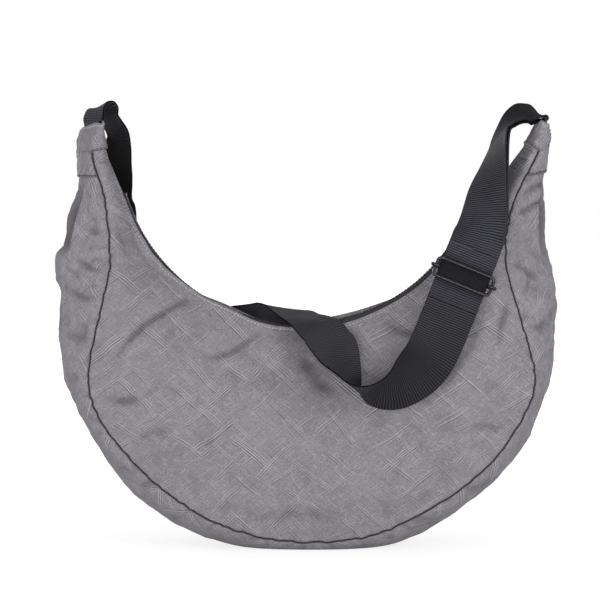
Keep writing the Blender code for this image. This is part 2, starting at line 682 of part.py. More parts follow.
class Ribbon:
    """Stations of flat webbing: its middle, its run and the way across it."""

    def __init__(self):
        self.middles = []
        self.acrosses = []
        self.kept = set()

    def add(self, middle, across, keep=False):
        if keep:
            self.kept.add(len(self.middles))
        self.middles.append(Vector(middle))
        self.acrosses.append(Vector(across).normalized())

    def squared(self):
        """Middles with the across direction squared to the run, and the face."""
        found = []
        last = len(self.middles) - 1
        for i, middle in enumerate(self.middles):
            run = self.middles[min(i + 1, last)] - self.middles[max(i - 1, 0)]
            run.normalize()
            across = self.acrosses[i]
            if i not in self.kept:
                across = (across - run * across.dot(run)).normalized()
            found.append((middle, across, run.cross(across)))
        return found

    def sheet(self, name, width, thickness, finish, turned=0):
        rows = [[middle - across * width / 2, middle, middle + across * width / 2]
                for middle, across, face in self.squared()]
        return sheet(name, rows, finish, thickness, 0, turned=turned)


def route(points):
    """The places and directions of a table of strap points."""
    places = [spot(pixel, depth * STRAP_WIDTH) for pixel, depth, across in points]
    return places, [Vector(across) for pixel, depth, across in points]


def adjuster_axes():
    """The adjuster's middle, the way down the strap and the way across it."""
    middle = spot(ADJUSTER_PX, ADJUSTER_DEPTH_SHARE * STRAP_WIDTH)
    run = Vector(ADJUSTER_RUN).normalized()
    across = Vector(ADJUSTER_ACROSS)
    across = (across - run * across.dot(run)).normalized()
    return middle, run, across


def build_strap():
    """One length of webbing from the left tip, through the adjuster, round the
    ring at the right tip and back down to the adjuster's centre bar."""
    strap = Ribbon()
    middle, run, across = adjuster_axes()
    places, acrosses = route(STRAP_START_ROUTE)
    tip = Section(0).core()
    sunk = (Section(COLLAR_SPAN).core() - tip).normalized() * STRAP_SEWN_DEPTH
    tip_across = Section(0).back_seam - Section(0).front_seam
    places += [middle + run * STRAIGHT_BELOW, middle - run * STRAIGHT_ABOVE]
    acrosses += [across, across]
    low = len(places) - 2
    upper_places, upper_acrosses = route(STRAP_END_ROUTE)
    places += upper_places
    acrosses += upper_acrosses
    strap.add(tip + sunk, tip_across)
    strap.add(tip + sunk / 2, tip_across)
    strap.add(tip, tip_across)
    last = len(places) - 1
    outward_run = []
    for step in range(last * STRAP_STEPS + 1):
        position = step / STRAP_STEPS
        if low < position < low + 1:
            continue
        way = smooth(acrosses, position).normalized()
        if low <= position <= low + 1:
            way = across
        place = smooth(places, position)
        if position == low + 1:
            strap.add(place + run * STRAIGHT_EASE, across)
        strap.add(place, way)
        if position == low:
            strap.add(place - run * STRAIGHT_EASE, across)
        if position >= low + 1:
            outward_run.append((place, way))
    end = Section(LAST).core()
    ring = end + Vector((0, 0, RING_HEIGHT - RING_SUNK - 2 * RING_WIRE_RADIUS))
    wrap = RING_WIRE_RADIUS + RING_GAP + STRAP_THICKNESS / 2
    turned = len(strap.middles)
    for step in range(WRAP_STEPS + 1):
        turn = math.radians(WRAP_START_DEG + (WRAP_END_DEG - WRAP_START_DEG) * step / WRAP_STEPS)
        place = ring + Vector((wrap * math.cos(turn), 0, wrap * math.sin(turn)))
        strap.add(place, (0, -1, 0), keep=True)
    spaced = STRAP_THICKNESS * RETURN_LAYERS_SHARE
    back = Ribbon()
    for place, way in outward_run:
        back.add(place, way)
    returned = [(place + face * spaced, way) for place, way, face in back.squared()[::-1]]
    for place, way in returned[1:-1]:
        strap.add(place, way, keep=True)
    face = run.cross(across)
    behind = face if face.y > 0 else -face
    for up in (STRAIGHT_ABOVE, STRAIGHT_ABOVE - STRAIGHT_EASE, RETURN_END):
        strap.add(middle - run * up + behind * spaced, across)
    strap.sheet("shoulder_strap", STRAP_WIDTH, STRAP_THICKNESS, WEBBING, turned)
    build_adjuster(middle, run, across, spaced)
    build_ring(ring)


def wire_rectangle(half_width, half_height, corner):
    """A rectangle's middle line with rounded corners, as (across, up) pairs."""
    line = []
    for sign_x, sign_y, start in ((1, 1, 0), (-1, 1, 90), (-1, -1, 180), (1, -1, 270)):
        for step in range(CORNER_STEPS + 1):
            turn = math.radians(start + 90 * step / CORNER_STEPS)
            line.append((sign_x * (half_width - corner) + corner * math.cos(turn),
                         sign_y * (half_height - corner) + corner * math.sin(turn)))
    return line


def build_adjuster(middle, run, across, spaced):
    """A wire frame in front of the webbing, on a centre bar behind it."""
    face = run.cross(across)
    front = face if face.y < 0 else -face
    wire = ADJUSTER_WIRE_RADIUS
    half_width = STRAP_WIDTH / 2 + ADJUSTER_SIDE_GAP + wire
    half_height = ADJUSTER_HEIGHT / 2 - wire
    lift = STRAP_THICKNESS / 2 + METAL_GAP + wire
    outline = wire_rectangle(half_width, half_height, ADJUSTER_CORNER)
    points = [middle + across * a - run * b + front * lift for a, b in outline]
    tube("adjuster_frame", points, wire, METAL, WIRE_BEVEL, cyclic=True)
    hem = -(STRAP_THICKNESS + METAL_GAP)
    behind = hem - STRAP_THICKNESS / 2 - METAL_GAP - wire
    gap = 2 * wire + METAL_GAP
    curl = []
    for step in range(EYE_STEPS + 1):
        turn = math.radians(EYE_START_DEG + EYE_TURN_DEG * step / EYE_STEPS)
        curl.append((half_width + gap * math.cos(turn), lift + gap * math.sin(turn)))
    right = [(half_width - gap, behind)] + curl
    left = [(-a, b) for a, b in right[::-1]]
    points = [middle + across * a + front * b for a, b in left + right]
    tube("adjuster_centre_bar", points, wire, METAL, WIRE_BEVEL)
    loop = Ribbon()
    turn_radius = behind - hem
    leg = -(spaced + STRAP_THICKNESS + METAL_GAP)
    path = [(END_HEM_LENGTH, hem), (END_HEM_LENGTH / 2, hem)]
    for step in range(WRAP_STEPS + 1):
        turn = math.pi * step / WRAP_STEPS
        path.append((turn_radius * math.sin(turn), behind - turn_radius * math.cos(turn)))
    path += [(END_HEM_LENGTH, 2 * behind - hem), (RETURN_END, leg), (END_LEG_LENGTH, leg)]
    for up, b in path:
        loop.add(middle - run * up + front * b, across)
    loop.sheet("strap_end_loop", STRAP_WIDTH, STRAP_THICKNESS, WEBBING)


def build_ring(ring):
    """The ring that the strap turns round, and the tab that holds it."""
    wire = RING_WIRE_RADIUS
    half_width = STRAP_WIDTH / 2 + RING_SIDE_GAP + wire
    half_height = RING_HEIGHT / 2 - wire
    middle = ring - Vector((0, 0, half_height))
    outline = wire_rectangle(half_width, half_height, RING_CORNER)
    points = [middle + Vector((0, a, b)) for a, b in outline]
    tube("right_ring", points, wire, METAL, WIRE_BEVEL, cyclic=True)
    tab = Ribbon()
    low = middle - Vector((0, 0, half_height))
    wrap = wire + METAL_GAP + TAB_THICKNESS / 2
    down = (Section(LAST - COLLAR_SPAN).core() - Section(LAST).core()).normalized()
    tab.add(low + Vector((-wrap, 0, 0)) + down * TAB_DEPTH, (0, 1, 0))
    for step in range(WRAP_STEPS + 1):
        turn = math.pi - math.pi * step / WRAP_STEPS
        tab.add(low + Vector((wrap * math.cos(turn), 0, wrap * math.sin(turn))), (0, 1, 0))
    tab.add(low + Vector((wrap, 0, 0)) + down * TAB_DEPTH, (0, 1, 0))
    tab.sheet("right_ring_tab", 2 * TAB_HALF_WIDTH, TAB_THICKNESS, WEBBING)


def main():
    for old in list(bpy.data.objects):
        bpy.data.objects.remove(old, do_unlink=True)
    build_shell()
    build_lining()
    build_collars()
    build_zip()
    build_strap()


main()
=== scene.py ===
"""The finished look of a half moon sling bag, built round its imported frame.

Metres, +Z up, +X to the right of the front, +Y from the front to the back.
"""
import math

import bmesh
import bpy
import numpy as np
from bpy.props import FloatProperty, FloatVectorProperty, IntProperty, PointerProperty
from mathutils import Matrix, Vector, noise


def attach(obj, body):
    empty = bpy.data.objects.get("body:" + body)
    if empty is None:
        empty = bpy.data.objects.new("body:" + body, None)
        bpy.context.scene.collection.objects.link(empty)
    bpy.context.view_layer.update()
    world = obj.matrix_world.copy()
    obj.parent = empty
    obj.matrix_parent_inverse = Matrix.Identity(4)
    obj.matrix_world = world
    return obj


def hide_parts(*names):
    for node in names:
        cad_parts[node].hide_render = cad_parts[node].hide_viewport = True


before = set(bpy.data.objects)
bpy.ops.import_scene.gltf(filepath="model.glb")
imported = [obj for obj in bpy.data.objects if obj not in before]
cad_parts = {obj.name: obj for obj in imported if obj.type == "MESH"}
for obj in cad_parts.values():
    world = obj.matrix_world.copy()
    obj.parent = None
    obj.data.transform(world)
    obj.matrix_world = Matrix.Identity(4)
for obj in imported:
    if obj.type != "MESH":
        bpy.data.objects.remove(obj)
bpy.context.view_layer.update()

bl_info = {
    "name": "Half Moon Bag",
    "version": (1, 0, 0),
    "blender": (4, 5, 0),
    "location": "3D View > Sidebar > Bag",
    "description": "Builds the cloth, webbing, zip and metal of a half moon sling bag",
    "category": "Object",
}

MM = 0.001
BAG = "bag"
PLAN = "cloth_plan"
# Name of the mesh attribute that holds painted shade, from 0 to 1
PAINTED_SHADE_ATTRIBUTE = "fold"

# Driving sizes of the body, as the frame has them
BAG_WIDTH = 466 * MM
SEAM_HALF_DEPTH = 48 * MM
BELLY_BULGE = 14 * MM
BASE_HALF_DEPTH = 40 * MM
TIP_TWIST_SHIFT = 22 * MM
NYLON_THICKNESS = 1.2 * MM
LINING_THICKNESS = 0.6 * MM
CLOTH_GAP = 0.4 * MM
LINING_GAP = 1.7 * MM
LINING_BELOW_TAPE = 3 * MM
LINING_ALLOWANCE = 5 * MM
PIPING_RADIUS = 0.7 * MM
PIPING_PROUD = 0.3 * MM
SEWN_EDGE = 0.7 * MM
HEM_RISE = 3.2 * MM
COLLAR_THICKNESS = 1.2 * MM
ZIP_RADIUS = 167.4 * MM
ZIP_HALF_BAND = 8.5 * MM
ZIP_TAPE_THICKNESS = 0.7 * MM
ZIP_TAPE_OVERLAP = 9 * MM
TAPE_UNDER_HEM = 3 * MM
TAPE_LIP = 0.9 * MM
TOOTH_HEIGHT = 2 * MM
CHAIN_HALF_WIDTH = 3.4 * MM
TAPE_FLAT_HALF_WIDTH = 5.3 * MM
SLIDER_LENGTH = 11 * MM
SLIDER_HALF_WIDTH = 4.7 * MM
SLIDER_PLATE = 1.1 * MM
SLIDER_GAP = 0.35 * MM
SLIDER_LIP = 0.55 * MM
SLIDER_STOP_GAP = 0.3 * MM
BRIDGE_WIDTH = 1.6 * MM
BRIDGE_LENGTH = 7 * MM
BRIDGE_WIRE = 1.2 * MM
BRIDGE_CLEAR = 1.9 * MM
PULL_LENGTH = 21 * MM
PULL_HALF_WIDTH = 3.4 * MM
PULL_THICKNESS = 1.2 * MM
PULL_EYE_LENGTH = 6.5 * MM
PULL_GAP = 0.35 * MM
SLIDER_ROUNDING = 0.35 * MM
BRIDGE_SUNK = 0.3 * MM
STOP_LENGTH = 3.2 * MM
STRAP_WIDTH = 47 * MM
STRAP_THICKNESS = 1.3 * MM
METAL_GAP = 0.35 * MM
ADJUSTER_WIRE_RADIUS = 1.5 * MM
ADJUSTER_HEIGHT = 20 * MM
ADJUSTER_SIDE_GAP = 2 * MM
ADJUSTER_CORNER = 4 * MM
STRAIGHT_ABOVE = 26 * MM
STRAIGHT_BELOW = 27 * MM
STRAIGHT_EASE = 2 * MM
END_HEM_LENGTH = 5.5 * MM
END_LEG_LENGTH = 22 * MM
RETURN_END = 13 * MM
RING_WIRE_RADIUS = 1.15 * MM
RING_GAP = 0.6 * MM
RING_HEIGHT = 10.5 * MM
RING_SIDE_GAP = 1.4 * MM
RING_CORNER = 1.8 * MM
RING_SUNK = 3 * MM
TAB_DEPTH = 18 * MM
TAB_HALF_WIDTH = 20 * MM
TAB_THICKNESS = 0.9 * MM
STRAP_SEWN_DEPTH = 24 * MM
TIP_HALF_DEPTH = STRAP_WIDTH + 1 * MM

# The photograph's own measure: columns and rows of its 600 by 600 frame
FRAME_PX = 600
LEFT_COLUMN_PX = 57.4
RIGHT_COLUMN_PX = 558.3
BASE_ROW_PX = 548
BASE_COLUMN_PX = 304
VIEW_COLUMN_PX = 300
EYE_ROW_PX = 135
ARC_CENTRE_PX = (300, 143)
VIEW_DISTANCE = 2100 * MM
PX = BAG_WIDTH / (RIGHT_COLUMN_PX - LEFT_COLUMN_PX)
EYE_HEIGHT = (BASE_ROW_PX - EYE_ROW_PX) * PX * (1 - BASE_HALF_DEPTH / VIEW_DISTANCE)

# One row a section, from the left tip to the right tip: the mouth's angle and
# radius about the arc's centre, the front seam, the outer line, how much higher
# the back hem stands, then the shares of the half depth, of the tips' depth,
# the belly's bulge, the zip's band, the tip's twist and the section's squareness
SECTIONS = [
    (-95, 202.8, (103, 126), (89, 127), 0, 0.62, 1, 0, 0.06, 1, 0.7),
    (-88.2, 193.1, (93.5, 152), (80, 152), 0, 0.6, 1, 0.05, 0.06, 0.8, 0.4),
    (-79, 185.3, (100.5, 177), (79, 178), 0, 0.6, 0.75, 0.15, 0.25, 0.6, 0.1),
    (-71, 183.5, (108, 203), (73, 203), -2, 0.64, 0.5, 0.2, 0.8, 0.36, 0),
    (-57, 189.5, (112, 255), (59.5, 255), -4, 0.66, 0.25, 0.3, 1, 0, 0),
    (-50, 190, (110, 278), (57.5, 285), -4, 0.67, 0, 0.4, 1, 0, 0),
    (-43, 185, (103, 305), (58.4, 316), -4, 0.73, 0, 0.5, 1, 0, 0),
    (-31.5, 179.5, (89.5, 370), (63.5, 374), -3, 0.86, 0, 0.8, 1, 0, 0),
    (-26, 178, (95, 406), (77, 404), -2, 0.92, 0, 0.9, 1, 0, 0),
    (-20.5, 178.5, (115, 439), (94, 437), -2, 0.96, 0, 1, 1, 0, 0),
    (-15, 181.5, (149, 476), (130, 487), -1, 0.98, 0, 1, 1, 0, 0),
    (-10, 184, (198, 513), (182, 524), 0, 1, 0, 1, 1, 0, 0),
    (-5, 185.5, (250, 533.5), (241, 547), 1, 1, 0, 1, 1, 0, 0),
    (1, 185, (303, 541), (303, 552), 3, 1, 0, 1, 1, 0, 0),
    (7, 185.5, (356, 537.5), (366, 549), 6, 1, 0, 1, 1, 0, 0),
    (13, 187, (404, 522), (420, 533), 8, 1, 0, 1, 1, 0, 0),
    (25, 186, (487, 468.5), (507, 467), 5, 1, 0, 1, 1, 0, 0),
    (37, 186.7, (531.5, 396), (543, 396), 0, 0.96, 0, 0.9, 1, 0, 0),
    (42.5, 186.7, (531, 360), (549.5, 360), -2, 0.9, 0, 0.75, 1, 0, 0),
    (54, 186.1, (510, 288), (558.3, 297), -3, 0.71, 0.25, 0.45, 1, 0, 0),
    (60, 185.6, (503.5, 262), (551.5, 271), -3, 0.66, 0.5, 0.35, 1, 0, 0),
    (72, 192.4, (506, 216), (546.5, 216), -3, 0.62, 0.75, 0.25, 1, 0, 0),
    (84, 209, (524, 174.5), (545, 170), 0, 0.6, 1, 0.15, 0.25, 0, 0),
    (89.5, 223, (536, 152), (547.5, 147), 0, 0.61, 1, 0.05, 0.06, 0, 0.5),
    (95, 236, (543.5, 126), (547, 126), 0, 0.63, 1, 0, 0.06, 0, 1),
]
LAST = len(SECTIONS) - 1
SILHOUETTE_SHARE = 0.7
CROWN_POWER = 2.2
SQUARE_CROWN_POWER = 6
SQUARE_TURN_POWER = 0.45
OUTER_TWIST_SHARE = 0.07
LINE_STEPS = 72
ROW_STEPS = 14
COLLAR_SPAN = 1
FACING_SPAN = 2
LINING_START = 2
ZIP_START_DEG = -74
ZIP_END_DEG = 71
SLIDER_REST_REACH = STOP_LENGTH + SLIDER_STOP_GAP + SLIDER_LENGTH / 2
SLIDER_REST_DEG = ZIP_END_DEG - math.degrees(SLIDER_REST_REACH / ZIP_RADIUS)

# How far the front hem stands up past the panel's own edge: section and millimetres
FRONT_HEM_RISE = [(3, 3.2), (3.5, 5), (4, 7.6), (5, 8.2), (6, 4.6), (7, 0.4), (9, 0.4),
                  (10, 0.8), (11, 2), (12, 3.2)]

# Lengthwise folds of the gusset: where they start, are deepest and end, in
# sections, then their lip, valley and far side round the gusset, which runs from
# -1 at the front seam to 1 at the back one, and the depth
PLEATS = [
    (1.5, 3.6, 4.05, -0.47, -0.3, 0.26, 0.5),
    (20.0, 20.9, 22.3, -0.47, -0.3, 0.26, 0.44),
    (4.6, 5.6, 6.8, -0.34, -0.05, 0.3, 0.10),
    (17.8, 19.0, 20.2, -0.3, 0.05, 0.4, 0.08),
]

DEEP_PLEAT = 0.2

# Creases pressed into the cloth: their line in columns and rows, depth and
# half width in millimetres; a depth above 0 stands out of the bag
PANEL_CREASES = [
    ([(193, 295), (168, 309), (145, 324), (128, 342), (115, 360)], -1.7, 3.6),
    ([(205, 303), (178, 318), (155, 333), (138, 350)], 1.3, 4.5),
    ([(266, 327), (247, 341), (230, 352), (207, 357)], -1.3, 3.6),
    ([(276, 338), (255, 352), (235, 362), (212, 368)], 1, 4),
    ([(104, 268), (120, 285), (140, 300), (158, 306)], 1.4, 5),
    ([(470, 305), (455, 330), (446, 352)], -1.2, 5),
    ([(508, 300), (500, 322), (498, 345)], -1.2, 4.5),
    ([(98, 163.5), (104, 162.5), (110, 161)], -1.1, 1.3),
    ([(512, 155), (521, 159), (530, 163.5)], -1.1, 1.3),
    ([(104, 395), (122, 400), (142, 398)], -1.2, 4.5),
    ([(135, 440), (150, 432), (168, 430)], -1, 4.5),
    ([(500, 430), (486, 424), (470, 423)], -1, 4.5),
    ([(112, 215), (121, 236), (133, 255)], -1, 3.2),
    ([(508, 215), (500, 236), (490, 252)], -0.9, 3.2),
    ([(380, 318), (400, 330), (424, 334)], -1.2, 5),
    ([(301, 354), (308, 365), (320, 381), (343, 397)], -2, 8),
    ([(430, 392), (448, 372), (468, 344), (482, 312)], -1.4, 8),
    ([(250, 520), (290, 512), (340, 516)], -0.8, 6),
]
GUSSET_CREASES = [
    ([(523, 193), (533, 187), (544, 182)], -1.7, 2.8),
    ([(516, 215), (527, 208), (538, 199)], -1.8, 2.8),
    ([(520, 203), (531, 198), (541, 190)], 1.4, 3),
    ([(508, 262), (522, 268), (536, 280)], -1.4, 2.2),
    ([(512, 246), (525, 254), (538, 268)], 1.2, 3.4),
    ([(80, 260), (92, 268), (106, 270)], -1.5, 2.6),
    ([(70, 290), (86, 296), (100, 298)], -1.4, 3.8),
    ([(84, 222), (96, 232), (106, 236)], -1.3, 3),
    ([(66, 330), (78, 336), (90, 338)], -1.2, 3.6),
    ([(546, 320), (536, 326), (526, 328)], -1.4, 3.4),
    ([(552, 300), (538, 304), (522, 304)], 1.2, 3.4),
]

# The strap's route from the left tip to the arch over the right tip: column,
# row, depth in shares of the strap's width, and the direction across it
STRAP_START_ROUTE = [
    (95.5, 120.5, 0.02, -0.46, 0.88, -0.05),
    (98, 112, 0.03, -0.47, 0.87, -0.12),
    (102.5, 107.3, 0.06, -0.48, 0.86, -0.2),
    (107.5, 109.3, 0.11, -0.48, 0.86, -0.18),
    (111.5, 119, 0.15, -0.44, 0.89, -0.08),
    (120, 134, 0.17, -0.5, 0.87, 0),
    (121.3, 150, 0.24, -0.5, 0.87, 0),
    (118, 172, 0.64, -0.65, 0.75, 0),
    (113.5, 192, 0.92, -0.87, 0.5, 0),
    (113.5, 215, 1.02, -1, 0, -0.05),
    (115.5, 245, 1.06, -0.98, 0, -0.2),
    (122, 290, 1.15, -0.87, 0, -0.48),
    (140, 325, 1.28, -0.6, 0, -0.8),
    (165, 348, 1.38, -0.2, 0, -0.98),
    (194, 350, 1.42, 0.25, 0.05, -0.95),
    (222, 335, 1.34, 0.65, 0.25, -0.7),
    (245.5, 317, 1.06, 0.82, 0.45, -0.38),
    (267, 313.5, 0.8, 0.87, 0.42, -0.4),
    (284.5, 307, 0.46, 0.9, 0.4, -0.15),
    (299, 314, 0.06, 0.95, 0.3, -0.1),
    (309, 318.5, -0.17, 0.98, 0.22, -0.02),
    (316.5, 323.5, -0.4, 0.93, 0.3, 0.03),
    (326, 333.5, -0.58, 0.85, 0.46, 0.14),
    (333.5, 345.4, -0.88, 0.76, 0.58, 0.26),
    (341.5, 368.5, -1.28, 0.52, 0.84, 0.06),
    (348.5, 382, -1.55, 0.26, 0.93, -0.22),
    (358.5, 388.8, -1.66, 0.17, 0.94, -0.3),
    (374.5, 392, -1.66, 0.22, 0.83, -0.52),
    (396.4, 386.7, -1.55, 0.45, 0.6, -0.66),
    (420.2, 366.7, -1.32, 0.8, 0.15, -0.58),
    (434, 345, -1.16, 0.9, 0.02, -0.42),
]
ADJUSTER_PX = (462.0, 275.3)
ADJUSTER_DEPTH_SHARE = -1.06
ADJUSTER_RUN = (-0.37, -0.14, -0.90)
ADJUSTER_ACROSS = (0.95, 0.00, -0.31)
STRAP_END_ROUTE = [
    (478.5, 229, -0.93, 0.86, -0.45, -0.22),
    (482, 212.5, -0.82, 0.75, -0.62, -0.21),
    (485, 187, -0.65, 0.56, -0.81, -0.17),
    (490.3, 162, -0.43, 0.31, -0.95, -0.07),
    (495.7, 140, -0.22, 0.1, -0.99, -0.06),
    (500.3, 130, -0.12, 0.03, -0.99, -0.12),
    (509.3, 119, -0.06, 0.02, -0.96, -0.28),
    (520, 113.2, -0.02, -0.04, -0.93, -0.38),
    (530, 113.6, 0, -0.06, -0.95, -0.28),
]
STRAP_STEPS = 2
WRAP_START_DEG = 100
WRAP_END_DEG = -125
WRAP_STEPS = 8
RETURN_LIFT = STRAP_THICKNESS * 2.45
STATION_STEPS = 5


# ---------------------------------------------------------------- properties

def colour(name, about, default):
    return FloatVectorProperty(name=name, description="Colour of " + about, subtype="COLOR",
                               size=3, min=0, max=1, default=default)


def length(name, about, least, most, default):
    """A length with its limits and default in millimetres."""
    return FloatProperty(name=name, description=about, subtype="DISTANCE", min=least * MM,
                         max=most * MM, default=default * MM)


def power(name, about, default):
    return FloatProperty(name=name, description=about, min=0, default=default)


class BagCloth(bpy.types.PropertyGroup):
    """Sizes and colours of the crinkled nylon body."""

    nylon_colour: colour("Nylon", "the crinkled nylon", (0.202, 0.192, 0.213))
    crease_colour: colour("Creases", "the pressed crease lines", (0.47, 0.455, 0.48))
    lining_colour: colour("Lining", "the lining", (0.008, 0.009, 0.011))
    piping_colour: colour("Piping", "the piping in the seams", (0.0059, 0.0054, 0.0072))
    pale_thread_colour: colour("Pale thread", "the top stitching", (0.52, 0.51, 0.53))
    dark_thread_colour: colour("Dark thread", "the seam stitching", (0.03, 0.03, 0.035))
    crumple: length("Crumple", "Height of the soft waves in the cloth", 0, 5, 1.4)
    pucker: length("Pucker", "Height of the gathers beside the seams", 0, 3, 1.0)
    stitch_length: length("Stitch", "Length of one stitch", 1, 6, 2.3)
    stitch_gap: length("Stitch gap", "Gap between two stitches", 0.2, 4, 1.1)
    thread_radius: length("Thread", "Radius of the thread", 0.1, 1, 0.42)


class BagStrap(bpy.types.PropertyGroup):
    """Colours and weave of the shoulder strap and its metal."""

    webbing_colour: colour("Webbing", "the strap", (0.043, 0.043, 0.054))
    # Black of the painted shade along one edge of the strap
    edge_shade_colour: colour("Selvedge", "the strap's tight edge", (0.004, 0.004, 0.005))
    metal_colour: colour("Metal", "the black metal", (0.007, 0.007, 0.008))
    rib_pitch: length("Rib pitch", "Distance between two ribs of the webbing", 0.5, 5, 2.1)
    wire_sides: IntProperty(name="Wire sides", description="Bevel steps of the round wire",
                            min=2, max=12, default=6)


class BagZip(bpy.types.PropertyGroup):
    """Sizes and colours of the zip."""

    tape_colour: colour("Tape", "the zip's tapes", (0.010, 0.010, 0.012))
    teeth_colour: colour("Teeth", "the zip's teeth", (0.014, 0.014, 0.016))
    tooth_pitch: length("Tooth pitch", "Distance between two teeth of one row", 1, 8, 3.3)


class BagStage(bpy.types.PropertyGroup):
    """The floor, the light and the camera."""

    floor_colour: colour("Floor", "the floor", (0.9, 0.9, 0.9))
    key_power: power("Key light", "Power of the high light at the right in watts", 9)
    fill_power: power("Fill light", "Power of the wide light at the left in watts", 7)
    low_power: power("Low light", "Power of the long low light in watts", 13)
    rear_power: power("Rear light", "Power of the light behind the bag in watts", 10)
    world_strength: power("Room light", "Strength of the room's even light", 0.6)
    lens_shift: FloatProperty(
        name="Lens shift", description="How far the lens is shifted down, in frames",
        min=-0.3, max=0.3, default=-0.1)


# ------------------------------------------------------------ shape of the bag

def spot(pixel, depth=0.0):
    """The place at a depth behind the bag's middle that shows at a pixel."""
    near = 1 + depth / VIEW_DISTANCE
    across = (pixel[0] - VIEW_COLUMN_PX) * near + VIEW_COLUMN_PX - BASE_COLUMN_PX
    down = (pixel[1] - EYE_ROW_PX) * near
    return Vector((across * PX, depth, EYE_HEIGHT - down * PX))


def pixels_of(grid):
    """Columns and rows of the photograph at which places show."""
    near = 1 + grid[..., 1] / VIEW_DISTANCE
    across = (grid[..., 0] / PX - VIEW_COLUMN_PX + BASE_COLUMN_PX) / near
    down = (EYE_HEIGHT - grid[..., 2]) / PX / near
    return across + VIEW_COLUMN_PX, down + EYE_ROW_PX


ARC_CENTRE = spot(ARC_CENTRE_PX)


def arc_point(degrees, radius, depth=0.0):
    angle = math.radians(degrees)
    return ARC_CENTRE + Vector((radius * math.sin(angle), depth, -radius * math.cos(angle)))


def smooth(values, position):
    """A smooth curve through values of any kind at a fractional position."""
    last = len(values) - 1
    index = min(int(position), last - 1)
    t = position - index
    before = values[max(index - 1, 0)]
    start, end = values[index], values[index + 1]
    after = values[min(index + 2, last)]
    pull_in = (end - before) / 2
    pull_out = (after - start) / 2
    rise = start * (2 * t ** 3 - 3 * t ** 2 + 1) + end * (3 * t ** 2 - 2 * t ** 3)
    return rise + pull_in * (t ** 3 - 2 * t ** 2 + t) + pull_out * (t ** 3 - t ** 2)


# How much fuller the gusset stands than the table's line: section and millimetres
FULLNESS = [(0, -1.8), (1, -3), (2, -2.4), (3, 1.2), (3.5, 5), (3.8, 5), (4.1, 2),
            (4.6, 0.8), (5, 1.4), (6, 1.8), (7, 2.2), (8, 2.8), (9, 4.6), (10, 5.2),
            (11, 5.6), (12, 4), (13, 2), (14, 3), (15, 4.8), (15.5, 7.5), (16, 6.2),
            (16.5, 6), (17, 4.4), (18, 2.8), (19, 2.8), (20, 0.6), (21, 0),
            (23, 0), (24, -2.6)]

COLUMNS = [[Vector(row[k]) if isinstance(row[k], tuple) else row[k] for row in SECTIONS]
           for k in range(len(SECTIONS[0]))]


def hill(place, start, top, end):
    """A soft hill from a start through its top to an end."""
    t = np.clip(np.minimum((place - start) / (top - start), (end - place) / (end - top)), 0, 1)
    return t * t * (3 - 2 * t)


def pleated(position, share):
    """How far the lengthwise folds pull the gusset in, steeply behind their lips."""
    return sum(depth * hill(position, start, top, end) * hill(share, lip, valley, far)
               for start, top, end, lip, valley, far, depth in PLEATS)


def pleat_calm(position, share):
    """How even the cloth lies along the lips of the deep folds, from 0 to 1."""
    return sum(hill(position, start - 0.4, top, end + 0.3) * hill(share, lip - 0.3, lip, far)
               for start, top, end, lip, _, far, depth in PLEATS if depth > DEEP_PLEAT)


def pleat_painted_shade(position, share):
    """Painted shade of the lengthwise folds, from their lips on past their far sides."""
    return sum(depth * hill(position, start, top, end)
               * (1.2 * hill(share, lip, lip + 0.05, far + 0.5)
                  + 0.5 * np.minimum(1.6 * hill(share, lip, lip + 0.03, far), 1))
               for start, top, end, lip, _, far, depth in PLEATS)


class Section:
    """The bag cut across its crescent: hems, seams and the lines between."""

    def __init__(self, position):
        (angle, radius, seam_px, outer_px, back_rise, depth_share, tip, bulge, band,
         twist, square) = (smooth(column, position) for column in COLUMNS)
        deepest = SEAM_HALF_DEPTH + (TIP_HALF_DEPTH - SEAM_HALF_DEPTH) * tip
        half_depth = depth_share * deepest
        self.bulge = max(bulge, 0) * BELLY_BULGE
        band = max(band, 0) * ZIP_HALF_BAND
        twist = max(twist, 0) * TIP_TWIST_SHIFT
        self.angle = angle
        seam = spot(seam_px, -half_depth)
        outer = spot(outer_px, -SILHOUETTE_SHARE * half_depth)
        outer.y = 0
        hem = arc_point(angle, radius * PX, -band)
        away = Vector((outer.x - hem.x, 0, outer.z - hem.z)).normalized()
        self.front_hem = hem
        self.front_seam = seam
        self.back_seam = Vector((seam.x, half_depth, seam.z)) + away * twist
        self.back_hem = arc_point(angle, (radius - back_rise) * PX, band)
        self.outer = outer + away * twist * OUTER_TWIST_SHARE
        self.square = max(square, 0)

    def middle(self):
        return (self.front_seam + self.back_seam) / 2

    def core(self):
        """The middle of the room inside a tip."""
        return ((self.front_hem + self.back_hem) / 2 + self.outer) / 2

    def panel(self, side):
        """From the hem to the seam; side is -1 at the front and 1 at the back."""
        hem = self.front_hem if side < 0 else self.back_hem
        seam = self.front_seam if side < 0 else self.back_seam
        power = CROWN_POWER + self.square * SQUARE_CROWN_POWER
        middle = self.middle()
        line = []
        for step in range(LINE_STEPS + 1):
            v = (step / LINE_STEPS) ** (1 + self.square)
            crown = 1 - (1 - v) ** power
            point = hem + (middle - hem) * v + (seam - middle) * crown
            point.y = hem.y + (seam.y - hem.y) * crown
            point.y += side * self.bulge * math.sin(math.pi * v)
            line.append(point)
        return line

    def gusset(self):
        """From the front seam round the outer line to the back seam."""
        power = 1 - self.square * SQUARE_TURN_POWER
        line = []
        for step in range(-LINE_STEPS, LINE_STEPS + 1):
            share = step / LINE_STEPS
            turn = share * math.pi / 2
            seam = self.front_seam if step < 0 else self.back_seam
            out = max(math.cos(turn), 0) ** power
            back = abs(math.sin(turn)) ** power
            twist = self.middle() - seam
            twist.y = 0
            point = seam + twist * (1 - back) + (self.outer - self.middle()) * out
            point.y = seam.y * back
            point.z = max(point.z, 0)
            line.append(point)
        return line


def between_positions(first, last, steps=ROW_STEPS):
    count = round(abs(last - first) * steps)
    return [first + (last - first) * i / count for i in range(count + 1)]


